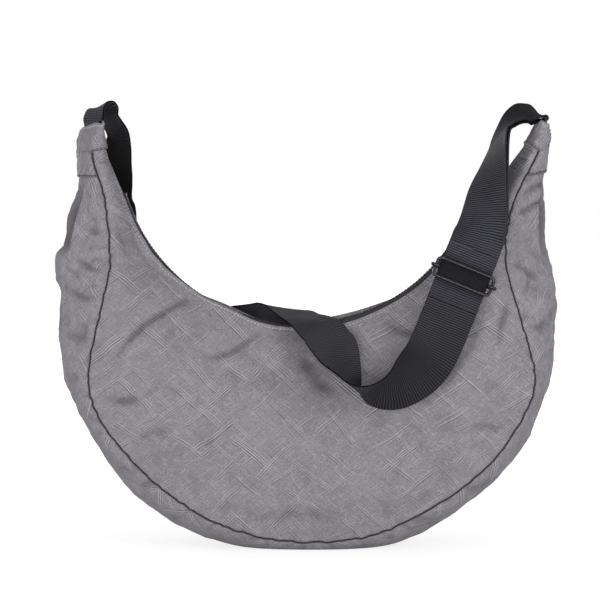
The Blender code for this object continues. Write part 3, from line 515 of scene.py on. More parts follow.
def run_along(points):
    """How far each point of a line lies from its start, along the line."""
    steps = np.linalg.norm(np.diff(np.array(points), axis=0), axis=1)
    return np.concatenate([[0], np.cumsum(steps)])


def at_reaches(points, lengths, reaches):
    return np.stack([np.interp(reaches, lengths, points[:, k]) for k in range(3)], axis=1)


def resampled(line, reaches):
    """Points of a line at distances along it."""
    points = np.array(line)
    return at_reaches(points, run_along(points), reaches)


def length_of(line):
    points = np.array(line)
    return float(np.linalg.norm(np.diff(points, axis=0), axis=1).sum())


EDGE_REACHES = [0, 0.5, 1.1, 1.8, 2.4, 2.9, 3.5, 4.3, 5.5, 7.2, 9.5]
EDGE_SHARE = 0.3


def bell(distance, reach):
    return np.exp(-(distance / reach) ** 2)


def edge_reaches(total, count, trim=0.0):
    """Distances from a hem to a seam, close together beside both edges."""
    total -= trim
    near = [reach * MM for reach in EDGE_REACHES if reach * MM < total * EDGE_SHARE]
    far = [total - reach for reach in near][::-1]
    even = np.linspace(0, 1, len(EDGE_REACHES))
    near, far = (np.interp(even, np.linspace(0, 1, len(edge)), edge) for edge in (near, far))
    inner = np.linspace(near[-1], far[0], count - 2 * len(EDGE_REACHES) + 2)[1:-1]
    return np.concatenate([near, inner, far])


def outward_of(grid, sign):
    """Unit normals of a grid of points; sign turns them out of the bag."""
    along = np.gradient(grid, axis=0)
    over = np.gradient(grid, axis=1)
    normal = np.cross(along, over) * sign
    return normal / np.maximum(np.linalg.norm(normal, axis=2, keepdims=True), 1e-12)


def creased(grid, creases):
    """Height of pressed creases at the pixels where a grid shows."""
    column, row = pixels_of(grid)
    height = np.zeros(column.shape)
    for line, depth, width in creases:
        nearest = np.full(column.shape, 1e9)
        place = np.zeros(column.shape)
        for index, (a, b) in enumerate(zip(line, line[1:])):
            dx, dy = b[0] - a[0], b[1] - a[1]
            share = ((column - a[0]) * dx + (row - a[1]) * dy) / (dx * dx + dy * dy)
            share = np.clip(share, 0, 1)
            gap = np.hypot(column - a[0] - share * dx, row - a[1] - share * dy)
            closer = gap < nearest
            nearest = np.where(closer, gap, nearest)
            place = np.where(closer, (index + share) / (len(line) - 1), place)
        fade = np.sin(np.pi * np.clip(place, 0.02, 0.98)) ** 0.6
        height += depth * MM * fade * bell(nearest * PX, width * MM)
    return height


def waves(grid, scale, seed, octaves=2):
    """Smooth noise over a grid of points, about -1 to 1."""
    flat = grid.reshape(-1, 3) / scale + seed
    values = [noise.fractal(Vector(point), 0.8, 2.1, octaves) for point in flat]
    return np.array(values).reshape(grid.shape[:2])


# ------------------------------------------------------------------ mesh tools

FINISHES = {}


def new_piece(name, mesh, finish, nodes, body=BAG):
    """Puts a mesh or curve in the scene, on its body, in place of CAD nodes."""
    piece = bpy.data.objects.new(name, mesh)
    bpy.context.scene.collection.objects.link(piece)
    mesh.materials.append(FINISHES[finish])
    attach(piece, body)
    if nodes:
        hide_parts(*nodes)
    return piece


def grid_mesh(name, grid, plan, flip=False, closed=False):
    """A mesh of quads over a grid, its plan in metres kept as a UV map."""
    rows, width = grid.shape[:2]
    columns = width if closed else width - 1
    i, j = np.meshgrid(np.arange(rows - 1), np.arange(columns), indexing="ij")
    k = (j + 1) % width
    quads = np.stack([i * width + j, i * width + k, (i + 1) * width + k,
                      (i + 1) * width + j], axis=-1).reshape(-1, 4)
    if not flip:
        quads = quads[:, ::-1]
    mesh = bpy.data.meshes.new(name)
    mesh.from_pydata(grid.reshape(-1, 3).tolist(), [], quads.tolist())
    layer = mesh.uv_layers.new(name=PLAN)
    places = plan.reshape(-1, 2)[quads.ravel()]
    layer.uv.foreach_set("vector", places.astype(np.float32).ravel())
    mesh.shade_smooth()
    return mesh


def thicken(piece, thickness, offset):
    solid = piece.modifiers.new("cloth thickness", "SOLIDIFY")
    solid.thickness = thickness
    solid.offset = offset
    solid.use_rim = True
    solid.use_even_offset = False
    return piece


def taper(piece, shape, columns=7, least=0.15):
    """Has a thickened grid run out thin along its two sides, where it is sewn in."""
    group = piece.vertex_groups.new(name="thickness")
    for index in range(shape[0] * shape[1]):
        edge = min(index % shape[1], shape[1] - 1 - index % shape[1])
        group.add([index], min(edge / columns, 1), "REPLACE")
    solid = piece.modifiers["cloth thickness"]
    solid.vertex_group = group.name
    solid.thickness_vertex_group = least


def flat_plan(grid):
    """The plan of a nearly flat panel: its own width and height."""
    return np.stack([grid[..., 0], grid[..., 2]], axis=-1)


def unrolled_plan(grid):
    """The plan of a curved strip, unrolled from its middle line."""
    middle = grid.shape[1] // 2
    along = run_along(grid[:, middle])
    over = np.linalg.norm(np.diff(grid, axis=1), axis=2)
    over = np.concatenate([np.zeros((len(grid), 1)), np.cumsum(over, axis=1)], axis=1)
    over -= over[:, middle:middle + 1]
    return np.stack([np.repeat(along[:, None], grid.shape[1], axis=1), over], axis=-1)


def evenly_spaced(points, step, cyclic):
    """The same line with no stretch between points longer than a step."""
    spaced = []
    for start, end in zip(points, points[1:] + points[:1] if cyclic else points[1:]):
        count = max(1, math.ceil((end - start).length / step))
        spaced += [start.lerp(end, index / count) for index in range(count)]
    return spaced if cyclic else spaced + [points[-1]]


WIRE_STEP = 1.5 * MM


def wire(name, points, radius, nodes, body=BAG, cyclic=False):
    """A round metal bar along points."""
    curve = bpy.data.curves.new(name, "CURVE")
    curve.dimensions = "3D"
    curve.bevel_depth = radius
    curve.bevel_resolution = bpy.context.scene.bag_strap.wire_sides
    curve.use_fill_caps = not cyclic
    points = evenly_spaced(points, WIRE_STEP, cyclic)
    spline = curve.splines.new("POLY")
    spline.points.add(len(points) - 1)
    for place, point in zip(spline.points, points):
        place.co = (*point, 1)
    spline.use_cyclic_u = cyclic
    new_piece(name, curve, "metal", nodes, body)


def tube_rings(points, radii, sides, up):
    """Rings of points round a line, for a thread or a cord in mesh."""
    points = np.array(points)
    run = np.gradient(points, axis=0)
    run /= np.linalg.norm(run, axis=1, keepdims=True)
    side = np.cross(run, up)
    side /= np.linalg.norm(side, axis=1, keepdims=True)
    lift = np.cross(side, run)
    turn = np.linspace(0, 2 * np.pi, sides, endpoint=False)
    return (points[:, None] + np.array(radii)[:, None, None]
            * (np.cos(turn)[None, :, None] * side[:, None]
               + np.sin(turn)[None, :, None] * lift[:, None]))


THREAD_SIDES = 6
THREAD_PROFILE = [(0, 0.25, -0.9), (0.12, 0.8, -0.1), (0.35, 1, 0.35), (0.65, 1, 0.35),
                  (0.88, 0.8, -0.1), (1, 0.25, -0.9)]


def stitches(name, runs, finish, length=None, gap=None, radius=None):
    """Rows of stitches: each run is a line of points and its normals."""
    cloth = bpy.context.scene.bag_cloth
    length = length or cloth.stitch_length
    gap = gap or cloth.stitch_gap
    radius = radius or cloth.thread_radius
    vertices, faces = [], []
    for points, normals in runs:
        points, normals = np.array(points), np.array(normals)
        lengths = run_along(points)
        count = int((lengths[-1] + gap) / (length + gap))
        pitch = (lengths[-1] + gap) / max(count, 1)
        for index in range(count):
            reaches = [index * pitch + share * (pitch - gap) for share, _, _ in THREAD_PROFILE]
            line, up = (at_reaches(given, lengths, reaches) for given in (points, normals))
            lift = np.array([height for _, _, height in THREAD_PROFILE]) * radius
            line = line + up * lift[:, None]
            rings = tube_rings(line, [size * radius for _, size, _ in THREAD_PROFILE],
                               THREAD_SIDES, up)
            base = len(vertices)
            vertices += rings.reshape(-1, 3).tolist()
            for ring in range(len(THREAD_PROFILE) - 1):
                for side in range(THREAD_SIDES):
                    a = base + ring * THREAD_SIDES + side
                    b = base + ring * THREAD_SIDES + (side + 1) % THREAD_SIDES
                    faces.append((a, b, b + THREAD_SIDES, a + THREAD_SIDES))
            faces.append(tuple(base + side for side in range(THREAD_SIDES))[::-1])
            last = base + (len(THREAD_PROFILE) - 1) * THREAD_SIDES
            faces.append(tuple(last + side for side in range(THREAD_SIDES)))
    mesh = bpy.data.meshes.new(name)
    mesh.from_pydata(vertices, [], faces)
    mesh.shade_smooth()
    new_piece(name, mesh, finish, ())


def mesh_from(bm, name):
    mesh = bpy.data.meshes.new(name)
    bm.to_mesh(mesh)
    bm.free()
    return mesh


def closed_up(mesh, gap):
    """Welds the edges of a rolled up grid and closes its ends."""
    bm = bmesh.new()
    bm.from_mesh(mesh)
    bmesh.ops.remove_doubles(bm, verts=bm.verts, dist=gap)
    bmesh.ops.holes_fill(bm, edges=bm.edges, sides=60)
    bmesh.ops.recalc_face_normals(bm, faces=bm.faces)
    bm.to_mesh(mesh)
    bm.free()
    return mesh


def walled(bm, low, high):
    """Faces between two rings of vertices."""
    for i in range(len(low)):
        j = (i + 1) % len(low)
        bm.faces.new((low[i], low[j], high[j], high[i]))


def round_edges(piece, rounding, least_angle):
    edge = piece.modifiers.new("rounded edge", "BEVEL")
    edge.width = rounding
    edge.segments = 3
    edge.limit_method = "ANGLE"
    edge.angle_limit = math.radians(least_angle)
    piece.modifiers.new("even shading", "WEIGHTED_NORMAL").keep_sharp = True


def plate(name, outline, low, high, rounding, nodes, body, matrix):
    """A flat metal shape pushed up from an outline, its edges rounded."""
    bm = bmesh.new()
    lower = [bm.verts.new((x, y, low)) for x, y in outline]
    upper = [bm.verts.new((x, y, high)) for x, y in outline]
    bm.faces.new(lower[::-1])
    bm.faces.new(upper)
    walled(bm, lower, upper)
    bmesh.ops.recalc_face_normals(bm, faces=bm.faces)
    bmesh.ops.transform(bm, matrix=matrix, verts=bm.verts)
    mesh = mesh_from(bm, name)
    mesh.shade_smooth()
    round_edges(new_piece(name, mesh, "metal", nodes, body), rounding, 40)


# ------------------------------------------------------------------- materials

class Tree:
    """Adds and joins the nodes of one material or node group."""

    def __init__(self, tree):
        self.tree = tree
        self.count = 0

    def add(self, kind, inputs=None, **settings):
        node = self.tree.nodes.new(kind)
        node.location = (180 * (self.count % 12) - 1400, -260 * (self.count // 12))
        self.count += 1
        for key, value in settings.items():
            setattr(node, key, value)
        for key, value in (inputs or {}).items():
            self.feed(node.inputs[key], value)
        return node

    def feed(self, socket, value):
        if isinstance(value, bpy.types.NodeSocket):
            self.tree.links.new(value, socket)
        else:
            socket.default_value = value

    def fed(self, kind, operation, values):
        node = self.add(kind, operation=operation)
        for socket, value in zip(node.inputs, values):
            self.feed(socket, value)
        return node

    def math(self, operation, *values):
        return self.fed("ShaderNodeMath", operation, values).outputs[0]

    def times(self, *values):
        return self.math("MULTIPLY", *values)

    def times_plus(self, value, factor, added):
        return self.math("MULTIPLY_ADD", value, factor, added)

    def minus(self, *values):
        return self.math("SUBTRACT", *values)

    def vector(self, operation, *values):
        node = self.fed("ShaderNodeVectorMath", operation, values)
        return node.outputs["Value" if operation in ("LENGTH", "DISTANCE", "DOT_PRODUCT")
                            else "Vector"]

    def scaled(self, vector, factor):
        node = self.add("ShaderNodeVectorMath", operation="SCALE")
        self.feed(node.inputs[0], vector)
        self.feed(node.inputs["Scale"], factor)
        return node.outputs["Vector"]

    def remap(self, value, low, high, new_low=0.0, new_high=1.0, kind="SMOOTHSTEP"):
        node = self.add("ShaderNodeMapRange", interpolation_type=kind)
        for key, given in (("Value", value), ("From Min", low), ("From Max", high),
                           ("To Min", new_low), ("To Max", new_high)):
            self.feed(node.inputs[key], given)
        return node.outputs["Result"]

    def mix(self, factor, a, b):
        node = self.add("ShaderNodeMix", data_type="RGBA")
        self.feed(node.inputs["Factor"], factor)
        for key, given in (("A", a), ("B", b)):
            socket = next(s for s in node.inputs if s.name == key and s.type == "RGBA")
            self.feed(socket, given)
        return next(s for s in node.outputs if s.type == "RGBA")

    def noise(self, vector, scale, detail=2.0, roughness=0.5):
        node = self.add("ShaderNodeTexNoise",
                        inputs={"Vector": vector, "Scale": scale, "Detail": detail,
                                "Roughness": roughness})
        return node.outputs["Fac"]


def new_group(name, inputs, outputs):
    """A shader node group with named sockets: (name, kind, default)."""
    group = bpy.data.node_groups.new(name, "ShaderNodeTree")
    for title, kind, default in inputs:
        socket = group.interface.new_socket(name=title, in_out="INPUT", socket_type=kind)
        if default is not None:
            socket.default_value = default
    for title, kind in outputs:
        group.interface.new_socket(name=title, in_out="OUTPUT", socket_type=kind)
    tree = Tree(group)
    start = tree.add("NodeGroupInput")
    end = tree.add("NodeGroupOutput")
    return group, tree, start.outputs, end.inputs


FLOAT, VECTOR = "NodeSocketFloat", "NodeSocketVector"


def line_group():
    """Short pressed lines in one direction, in rows and lengths that vary; Dark is painted shade on
    one side of each line.
    """
    group, tree, given, out = new_group(
        "pressed lines",
        [("Vector", VECTOR, None), ("Angle", FLOAT, 0.7), ("Spacing", FLOAT, 26.0),
         ("Length", FLOAT, 50.0), ("Seed", FLOAT, 0.0), ("Share", FLOAT, 0.8)],
        [("Pale", FLOAT), ("Dark", FLOAT)])
    turned = turned_plan(tree, given["Vector"], given["Angle"])
    parts = tree.add("ShaderNodeSeparateXYZ", inputs={"Vector": turned})
    across = tree.math("DIVIDE", parts.outputs["Y"], given["Spacing"])
    row = tree.math("FLOOR", across)
    seeded = tree.times_plus(given["Seed"], 17.3, row)
    shift = tree.add("ShaderNodeTexWhiteNoise", noise_dimensions="1D", inputs={"W": seeded})
    along = tree.math("ADD", tree.math("DIVIDE", parts.outputs["X"], given["Length"]),
                      tree.times(shift.outputs["Value"], 7.0))
    cell = tree.add("ShaderNodeCombineXYZ",
                    inputs={"X": row, "Y": tree.math("FLOOR", along), "Z": given["Seed"]})
    chance = tree.add("ShaderNodeTexWhiteNoise", noise_dimensions="3D",
                      inputs={"Vector": cell.outputs[0]})
    random = tree.add("ShaderNodeSeparateColor", inputs={"Color": chance.outputs["Color"]})
    first, second, third = random.outputs
    here = tree.minus(tree.math("FRACT", along), 0.5)
    lean = tree.times(tree.minus(second, 0.5), 0.28)
    middle = tree.times_plus(first, 0.5, 0.25)
    off = tree.times(tree.minus(tree.math("FRACT", across), middle), given["Spacing"])
    off = tree.minus(off, tree.times(tree.times(here, lean), given["Length"]))
    pale, dark = None, None
    for place, chooser, limit, weight in ((0.0, None, 0, 1.0), (1.9, third, 0.35, 0.75),
                                          (-2.1, second, 0.5, 0.65), (3.9, first, 0.65, 0.55)):
        near = tree.math("ABSOLUTE", tree.minus(off, place))
        line = tree.times(tree.remap(near, 0.72, 0.1), weight)
        # Painted shade on one side of each pale line
        shade = tree.math("ABSOLUTE", tree.minus(off, place - 0.9))
        shade = tree.times(tree.remap(shade, 0.95, 0.15), weight)
        if chooser is not None:
            kept = tree.math("GREATER_THAN", chooser, limit)
            line, shade = tree.times(line, kept), tree.times(shade, kept)
        pale = line if pale is None else tree.math("MAXIMUM", pale, line)
        dark = shade if dark is None else tree.math("MAXIMUM", dark, shade)
    reach = tree.times_plus(third, 0.2, 0.28)
    ends = tree.remap(tree.math("ABSOLUTE", here), reach, tree.times(reach, 0.6))
    shown = tree.math("LESS_THAN", chance.outputs["Value"], given["Share"])
    strength = tree.times_plus(first, 0.55, 0.45)
    strength = tree.times(tree.times(ends, shown), strength)
    tree.feed(out["Pale"], tree.times(pale, strength))
    tree.feed(out["Dark"], tree.times(dark, strength))
    return group


# Too small a shift to see: it only has the layers worked out one after another,
# because worked out together they don't fit in the renderer's memory for a shader
ONE_BY_ONE = 1e-5


def crease_group():
    """Criss-cross creases as crinkled nylon has them, over a plan in millimetres; Dark is painted
    shade beside the lines.
    """
    group, tree, given, out = new_group(
        "crossed creases", [("Vector", VECTOR, None), ("Size", FLOAT, 1.0)],
        [("Pale", FLOAT), ("Dark", FLOAT)])
    place = tree.scaled(given["Vector"], tree.math("DIVIDE", 1.0, given["Size"]))
    for scale, amount in ((0.03, 7.0), (0.25, 0.45)):
        sway = tree.add("ShaderNodeTexNoise",
                        inputs={"Vector": place, "Scale": scale, "Detail": 1.0})
        sway = tree.vector("SUBTRACT", sway.outputs["Color"], (0.5, 0.5, 0.5))
        place = tree.vector("ADD", place, tree.scaled(sway, amount))
    pale, dark = None, None
    for angle, spacing, length, seed, share, weight in (
            (0.68, 25.0, 66.0, 1.0, 0.8, 1.0), (-0.66, 24.0, 60.0, 2.0, 0.8, 1.0),
            (0.76, 30.0, 34.0, 3.0, 0.65, 0.65), (-0.6, 28.0, 30.0, 4.0, 0.65, 0.65),
            (0.7, 11.0, 19.0, 5.0, 0.5, 0.33), (-0.72, 12.0, 21.0, 6.0, 0.5, 0.33)):
        node = tree.add("ShaderNodeGroup", node_tree=shared("lines"))
        if pale is not None:
            after = tree.add("ShaderNodeCombineXYZ", inputs={"X": tree.times(pale, ONE_BY_ONE)})
            place = tree.vector("ADD", place, after.outputs[0])
        for key, value in (("Vector", place), ("Angle", angle), ("Spacing", spacing),
                           ("Length", length), ("Seed", seed), ("Share", share)):
            tree.feed(node.inputs[key], value)
        line = tree.times(node.outputs["Pale"], weight)
        shade = tree.times(node.outputs["Dark"], weight)
        pale = line if pale is None else tree.math("MAXIMUM", pale, line)
        dark = shade if dark is None else tree.math("MAXIMUM", dark, shade)
    tree.feed(out["Pale"], pale)
    tree.feed(out["Dark"], dark)
    return group


def weave_group():
    """A plain weave over a plan in millimetres: thread height from 0 to 1."""
    group, tree, given, out = new_group(
        "plain weave",
        [("Vector", VECTOR, None), ("Warp Pitch", FLOAT, 0.5), ("Weft Pitch", FLOAT, 0.5)],
        [("Height", FLOAT)])
    parts = tree.add("ShaderNodeSeparateXYZ", inputs={"Vector": given["Vector"]})
    warp = tree.times(tree.math("DIVIDE", parts.outputs["X"], given["Warp Pitch"]), math.pi)
    weft = tree.times(tree.math("DIVIDE", parts.outputs["Y"], given["Weft Pitch"]), math.pi)
    over = tree.times(tree.math("SINE", warp), tree.math("SINE", weft))
    tree.feed(out["Height"], tree.times_plus(over, 0.5, 0.5))
    return group


def rib_group():
    """The ribs of heavy webbing: weft ribs crossed by fine warp threads; Groove is painted shade in
    the grooves between the ribs.
    """
    group, tree, given, out = new_group(
        "webbing ribs",
        [("Vector", VECTOR, None), ("Rib Pitch", FLOAT, 1.9), ("Warp Pitch", FLOAT, 0.9)],
        [("Height", FLOAT), ("Groove", FLOAT)])
    parts = tree.add("ShaderNodeSeparateXYZ", inputs={"Vector": given["Vector"]})
    warp = tree.math("DIVIDE", parts.outputs["X"], given["Warp Pitch"])
    along = tree.math("DIVIDE", parts.outputs["Y"], given["Rib Pitch"])
    slant = tree.times(tree.math("SINE", tree.times(warp, 0.35)), 0.06)
    rib = tree.math("SINE", tree.times(tree.math("ADD", along, slant), 2 * math.pi))
    rib = tree.times_plus(rib, 0.5, 0.5)
    thread = tree.math("SINE", tree.times(warp, 2 * math.pi))
    thread = tree.times_plus(thread, 0.5, 0.5)
    tree.feed(out["Height"], tree.times_plus(thread, 0.22, tree.times(rib, 0.78)))
    tree.feed(out["Groove"], tree.remap(rib, 0.62, 0.1))
    return group


def wear_group():
    """Soft uneven wear: slow clouds broken up by a finer grain."""
    group, tree, given, out = new_group(
        "soft wear",
        [("Vector", VECTOR, None), ("Cloud Scale", FLOAT, 0.02), ("Grain Scale", FLOAT, 0.6)],
        [("Cloud", FLOAT), ("Grain", FLOAT)])
    tree.feed(out["Cloud"], tree.noise(given["Vector"], given["Cloud Scale"], 3.0, 0.55))
    tree.feed(out["Grain"], tree.noise(given["Vector"], given["Grain Scale"], 3.0, 0.6))
    return group


GROUPS = {}


def shared(name):
    makers = {"creases": crease_group, "lines": line_group, "weave": weave_group,
              "ribs": rib_group, "wear": wear_group}
    if name not in GROUPS:
        GROUPS[name] = makers[name]()
    return GROUPS[name]


def place_group(tree, name, vector, **values):
    node = tree.add("ShaderNodeGroup", node_tree=shared(name))
    tree.feed(node.inputs["Vector"], vector)
    for key, value in values.items():
        node.inputs[key.replace("_", " ").title()].default_value = value
    return node.outputs


def start_material(name):
    made = bpy.data.materials.new(name)
    made.use_nodes = True
    tree = Tree(made.node_tree)
    shader = made.node_tree.nodes["Principled BSDF"]
    plan = tree.add("ShaderNodeUVMap", uv_map=PLAN)
    return made, tree, shader, tree.scaled(plan.outputs["UV"], 1000.0)


def relief(tree, shader, height, distance, strength=1.0):
    node = tree.add("ShaderNodeBump", inputs={"Strength": strength, "Distance": distance,
                                              "Height": height})
    tree.feed(shader.inputs["Normal"], node.outputs["Normal"])


def skin(tree, shader, tone, roughness):
    tree.feed(shader.inputs["Base Color"], tone)
    tree.feed(shader.inputs["Roughness"], roughness)


def toned(colour, share):
    """A colour made darker or paler by a share, opaque."""
    return tuple(min(channel * share, 1) for channel in colour) + (1,)


def turned_plan(tree, plan, angle):
    node = tree.add("ShaderNodeVectorRotate", rotation_type="Z_AXIS",
                    inputs={"Vector": plan, "Angle": angle})
    return node.outputs[0]


def painted_shade_mask(tree):
    """Painted shade kept on a mesh: how deep in a fold or seam the cloth lies."""
    return tree.add("ShaderNodeAttribute", attribute_name=PAINTED_SHADE_ATTRIBUTE).outputs["Fac"]


def nylon_finish():
    """Crinkled grey nylon: pale crossed creases over a fine plain weave, with painted shade on one
    side of each crease, in small pits and in folds and seams.
    """
    cloth = bpy.context.scene.bag_cloth
    made, tree, shader, plan = start_material("crinkled_nylon")
    creases = place_group(tree, "creases", plan)
    weave = place_group(tree, "weave", plan, warp_pitch=0.45, weft_pitch=0.45)
    wear = place_group(tree, "wear", plan, cloud_scale=0.03, grain_scale=0.5)
    dark = toned(cloth.nylon_colour, 0.74)
    light = toned(cloth.nylon_colour, 1.2)
    facets = tree.add("ShaderNodeTexVoronoi", feature="F1", distance="CHEBYCHEV",
                      voronoi_dimensions="2D",
                      inputs={"Vector": turned_plan(tree, plan, 0.7), "Scale": 0.036})
    facet = tree.add("ShaderNodeSeparateColor", inputs={"Color": facets.outputs["Color"]})
    cloud = tree.times_plus(facet.outputs[0], 0.28, tree.times(wear["Cloud"], 0.72))
    tone = tree.mix(tree.remap(cloud, 0.0, 1.0), dark, light)
    grain = tree.remap(wear["Grain"], 0.38, 0.62)
    tone = tree.mix(tree.times(grain, 0.62), tone, light)
    hatch = None
    for angle in (0.68, -0.66):
        stretched = tree.vector("MULTIPLY", turned_plan(tree, plan, angle), (0.11, 0.62, 1.0))
        lines = tree.remap(tree.noise(stretched, 1.0, 1.0), 0.57, 0.67)
        hatch = lines if hatch is None else tree.math("MAXIMUM", hatch, lines)
    tone = tree.mix(tree.times(hatch, 0.24), tone, (*cloth.crease_colour, 1))
    # Painted shade in small pits of the cloth
    pits = tree.noise(plan, 0.7, 2.0, 0.7)
    shade = toned(cloth.nylon_colour, 0.5)
    tone = tree.mix(tree.remap(pits, 0.5, 0.7, 0.0, 0.75), tone, shade)
    # Painted shade on one side of each crease line
    tone = tree.mix(tree.times(creases["Dark"], 0.7), tone, shade)
    tone = tree.mix(tree.times(creases["Pale"], 0.9), tone, (*cloth.crease_colour, 1))
    # Painted shade in folds, hollows and beside seams, as kept on the mesh
    deep = toned(cloth.nylon_colour, 0.12)
    tone = tree.mix(tree.times(painted_shade_mask(tree), 0.95), tone, deep)
    skin(tree, shader, tone, tree.remap(creases["Pale"], 0.0, 1.0, 0.68, 0.5, kind="LINEAR"))
    shader.inputs["Specular IOR Level"].default_value = 0.3
    shader.inputs["Sheen Weight"].default_value = 0.06
    shader.inputs["Sheen Roughness"].default_value = 0.45
    height = tree.minus(creases["Pale"], creases["Dark"])
    height = tree.times_plus(wear["Grain"], 0.9, height)
    height = tree.times_plus(pits, -0.8, height)
    height = tree.times_plus(hatch, 0.5, height)
    height = tree.times_plus(weave["Height"], 0.12, height)
    relief(tree, shader, height, 0.42 * MM, 0.9)
    return made


def webbing_finish(name, colour, rib, warp):
    made, tree, shader, plan = start_material(name)
    ribs = place_group(tree, "ribs", plan, rib_pitch=rib, warp_pitch=warp)
    wear = place_group(tree, "wear", plan, cloud_scale=0.03, grain_scale=0.7)
    base = (*colour, 1)
    dark = toned(colour, 0.1)
    light = toned(colour, 1.5)
    tone = tree.mix(tree.remap(wear["Cloud"], 0.35, 0.7, 0.0, 0.5), base, light)
    # Painted shade in the grooves between the ribs
    tone = tree.mix(tree.times(ribs["Groove"], 0.95), tone, dark)
    tone = tree.mix(tree.remap(wear["Grain"], 0.45, 0.8, 0.0, 0.25), tone, dark)
    # Painted shade where the strap lies in its own shade, kept on its mesh
    painted_strap_shade = painted_shade_mask(tree)
    tone = tree.mix(painted_strap_shade, tone, dark)
    tree.feed(shader.inputs["Base Color"], tone)
    rough = tree.remap(wear["Cloud"], 0.3, 0.7, 0.48, 0.6)
    tree.feed(shader.inputs["Roughness"], tree.times_plus(painted_strap_shade, 0.3, rough))
    shader.inputs["Specular IOR Level"].default_value = 0.12
    shader.inputs["Sheen Weight"].default_value = 0.02
    shader.inputs["Sheen Roughness"].default_value = 0.35
    relief(tree, shader, ribs["Height"], 0.22 * MM, 1.0)
    return made


def cloth_finish(name, colour, pitch, roughness=0.8, gloss=0.5):
    """Plain woven cloth of one colour."""
    made, tree, shader, plan = start_material(name)
    weave = place_group(tree, "weave", plan, warp_pitch=pitch, weft_pitch=pitch)
    wear = place_group(tree, "wear", plan, cloud_scale=0.05, grain_scale=0.9)
    light = toned(colour, 1.8)
    tone = tree.mix(tree.times(weave["Height"], 0.5), (*colour, 1), light)
    tone = tree.mix(tree.remap(wear["Cloud"], 0.4, 0.75, 0.0, 0.5), tone, light)
    skin(tree, shader, tone, tree.remap(wear["Grain"], 0.3, 0.7, roughness - 0.08, roughness + 0.08))
    shader.inputs["Specular IOR Level"].default_value = gloss
    shader.inputs["Sheen Weight"].default_value = gloss * 0.2
    relief(tree, shader, weave["Height"], 0.12 * MM, 0.7)
    return made


def object_place(tree):
    """The piece's own place in millimetres, where it has no plan."""
    coordinates = tree.add("ShaderNodeTexCoord")
    return tree.scaled(coordinates.outputs["Object"], 1000.0)


def metal_finish(name, colour, roughness=0.28):
    """Black painted metal, slightly uneven in tone and gloss."""
    made, tree, shader, _ = start_material(name)
    place = object_place(tree)
    wear = place_group(tree, "wear", place, cloud_scale=0.12, grain_scale=0.4)
    light = toned(colour, 2.5)
    tone = tree.mix(tree.remap(wear["Grain"], 0.5, 0.85, 0.0, 0.2), (*colour, 1), light)
    skin(tree, shader, tone, tree.remap(wear["Cloud"], 0.3, 0.7, roughness - 0.02, roughness + 0.06))
    shader.inputs["Coat Weight"].default_value = 0.03
    shader.inputs["Coat Roughness"].default_value = 0.12
    return made


def thread_finish(name, colour):
    """Twisted sewing thread."""
    made, tree, shader, _ = start_material(name)
    place = object_place(tree)
    wear = place_group(tree, "wear", place, cloud_scale=0.2, grain_scale=2.4)
    twist = tree.add("ShaderNodeTexWave", inputs={"Vector": place, "Scale": 1.2,
                                                  "Distortion": 1.5},
                     wave_type="BANDS", bands_direction="DIAGONAL")
    dark = toned(colour, 0.6)
    tone = tree.mix(tree.times(twist.outputs["Fac"], 0.5), (*colour, 1), dark)
    tone = tree.mix(tree.remap(wear["Grain"], 0.4, 0.8, 0.0, 0.4), tone, dark)
    skin(tree, shader, tone, tree.remap(wear["Grain"], 0.3, 0.7, 0.55, 0.75))
    relief(tree, shader, twist.outputs["Fac"], 0.05 * MM, 0.5)
    return made


def plastic_finish(name, colour):
    """Moulded black plastic of the zip's teeth."""
    made, tree, shader, _ = start_material(name)
    place = object_place(tree)
    wear = place_group(tree, "wear", place, cloud_scale=0.15, grain_scale=1.2)
    light = toned(colour, 2.2)
    tone = tree.mix(tree.remap(wear["Grain"], 0.5, 0.8, 0.0, 0.5), (*colour, 1), light)
    skin(tree, shader, tone, tree.remap(wear["Cloud"], 0.3, 0.7, 0.32, 0.5))
    relief(tree, shader, wear["Grain"], 0.02 * MM, 0.4)
    return made


def make_finishes():
    settings = bpy.context.scene
    cloth, strap, zipper = settings.bag_cloth, settings.bag_strap, settings.bag_zip
    FINISHES.update({
        "nylon": nylon_finish(),
        "webbing": webbing_finish("ribbed_webbing", strap.webbing_colour,
                                  strap.rib_pitch / MM, 0.9),
        # Painted shade along one edge of the strap
        "selvedge": cloth_finish("black_edge_painted_shade", strap.edge_shade_colour, 0.8, 0.85, 0.06),
        "tape": cloth_finish("woven_zip_tape", zipper.tape_colour, 0.7, 0.72),
        "lining": cloth_finish("black_lining", cloth.lining_colour, 0.5),
        "piping": cloth_finish("black_piping", cloth.piping_colour, 0.6, 0.65),
        "metal": metal_finish("black_metal", strap.metal_colour),
        "teeth": plastic_finish("moulded_teeth", zipper.teeth_colour),
        "pale thread": thread_finish("pale_thread", cloth.pale_thread_colour),
        "dark thread": thread_finish("dark_thread", cloth.dark_thread_colour),
        "frayed thread": thread_finish("frayed_thread", cloth.crease_colour),
    })


# ------------------------------------------------------------ cloth of the bag

CUTS = {}


def cut(position):
    """The section at a position, worked out once."""
    key = round(position, 4)
    if key not in CUTS:
        CUTS[key] = Section(position)
    return CUTS[key]


# Soft waves of the panels, from wide to fine: share of their height, and size
PANEL_WAVES = ((1, 46 * MM), (0.4, 18 * MM), (0.12, 7 * MM))
PANEL_COLUMNS = 84
GUSSET_COLUMNS = 132
SMOOTHING = 4.5
# How strongly painted shade darkens hollows, seams and pressed creases
FOLD_PAINTED_SHADE = 0.63
SEAM_WANDER = 0.9 * MM
GATHER_REACH = 9 * MM
GATHER_START = 2.5 * MM
# How much higher creases and hollows stand than their tables say
PANEL_CREASE_LIFT = 1.35
GUSSET_CREASE_LIFT = 1.6
SURFACES = {}
LINES = {}
# Painted shade of each cloth piece
PAINTED_SHADE_OF = {}
HOLLOWS = {}


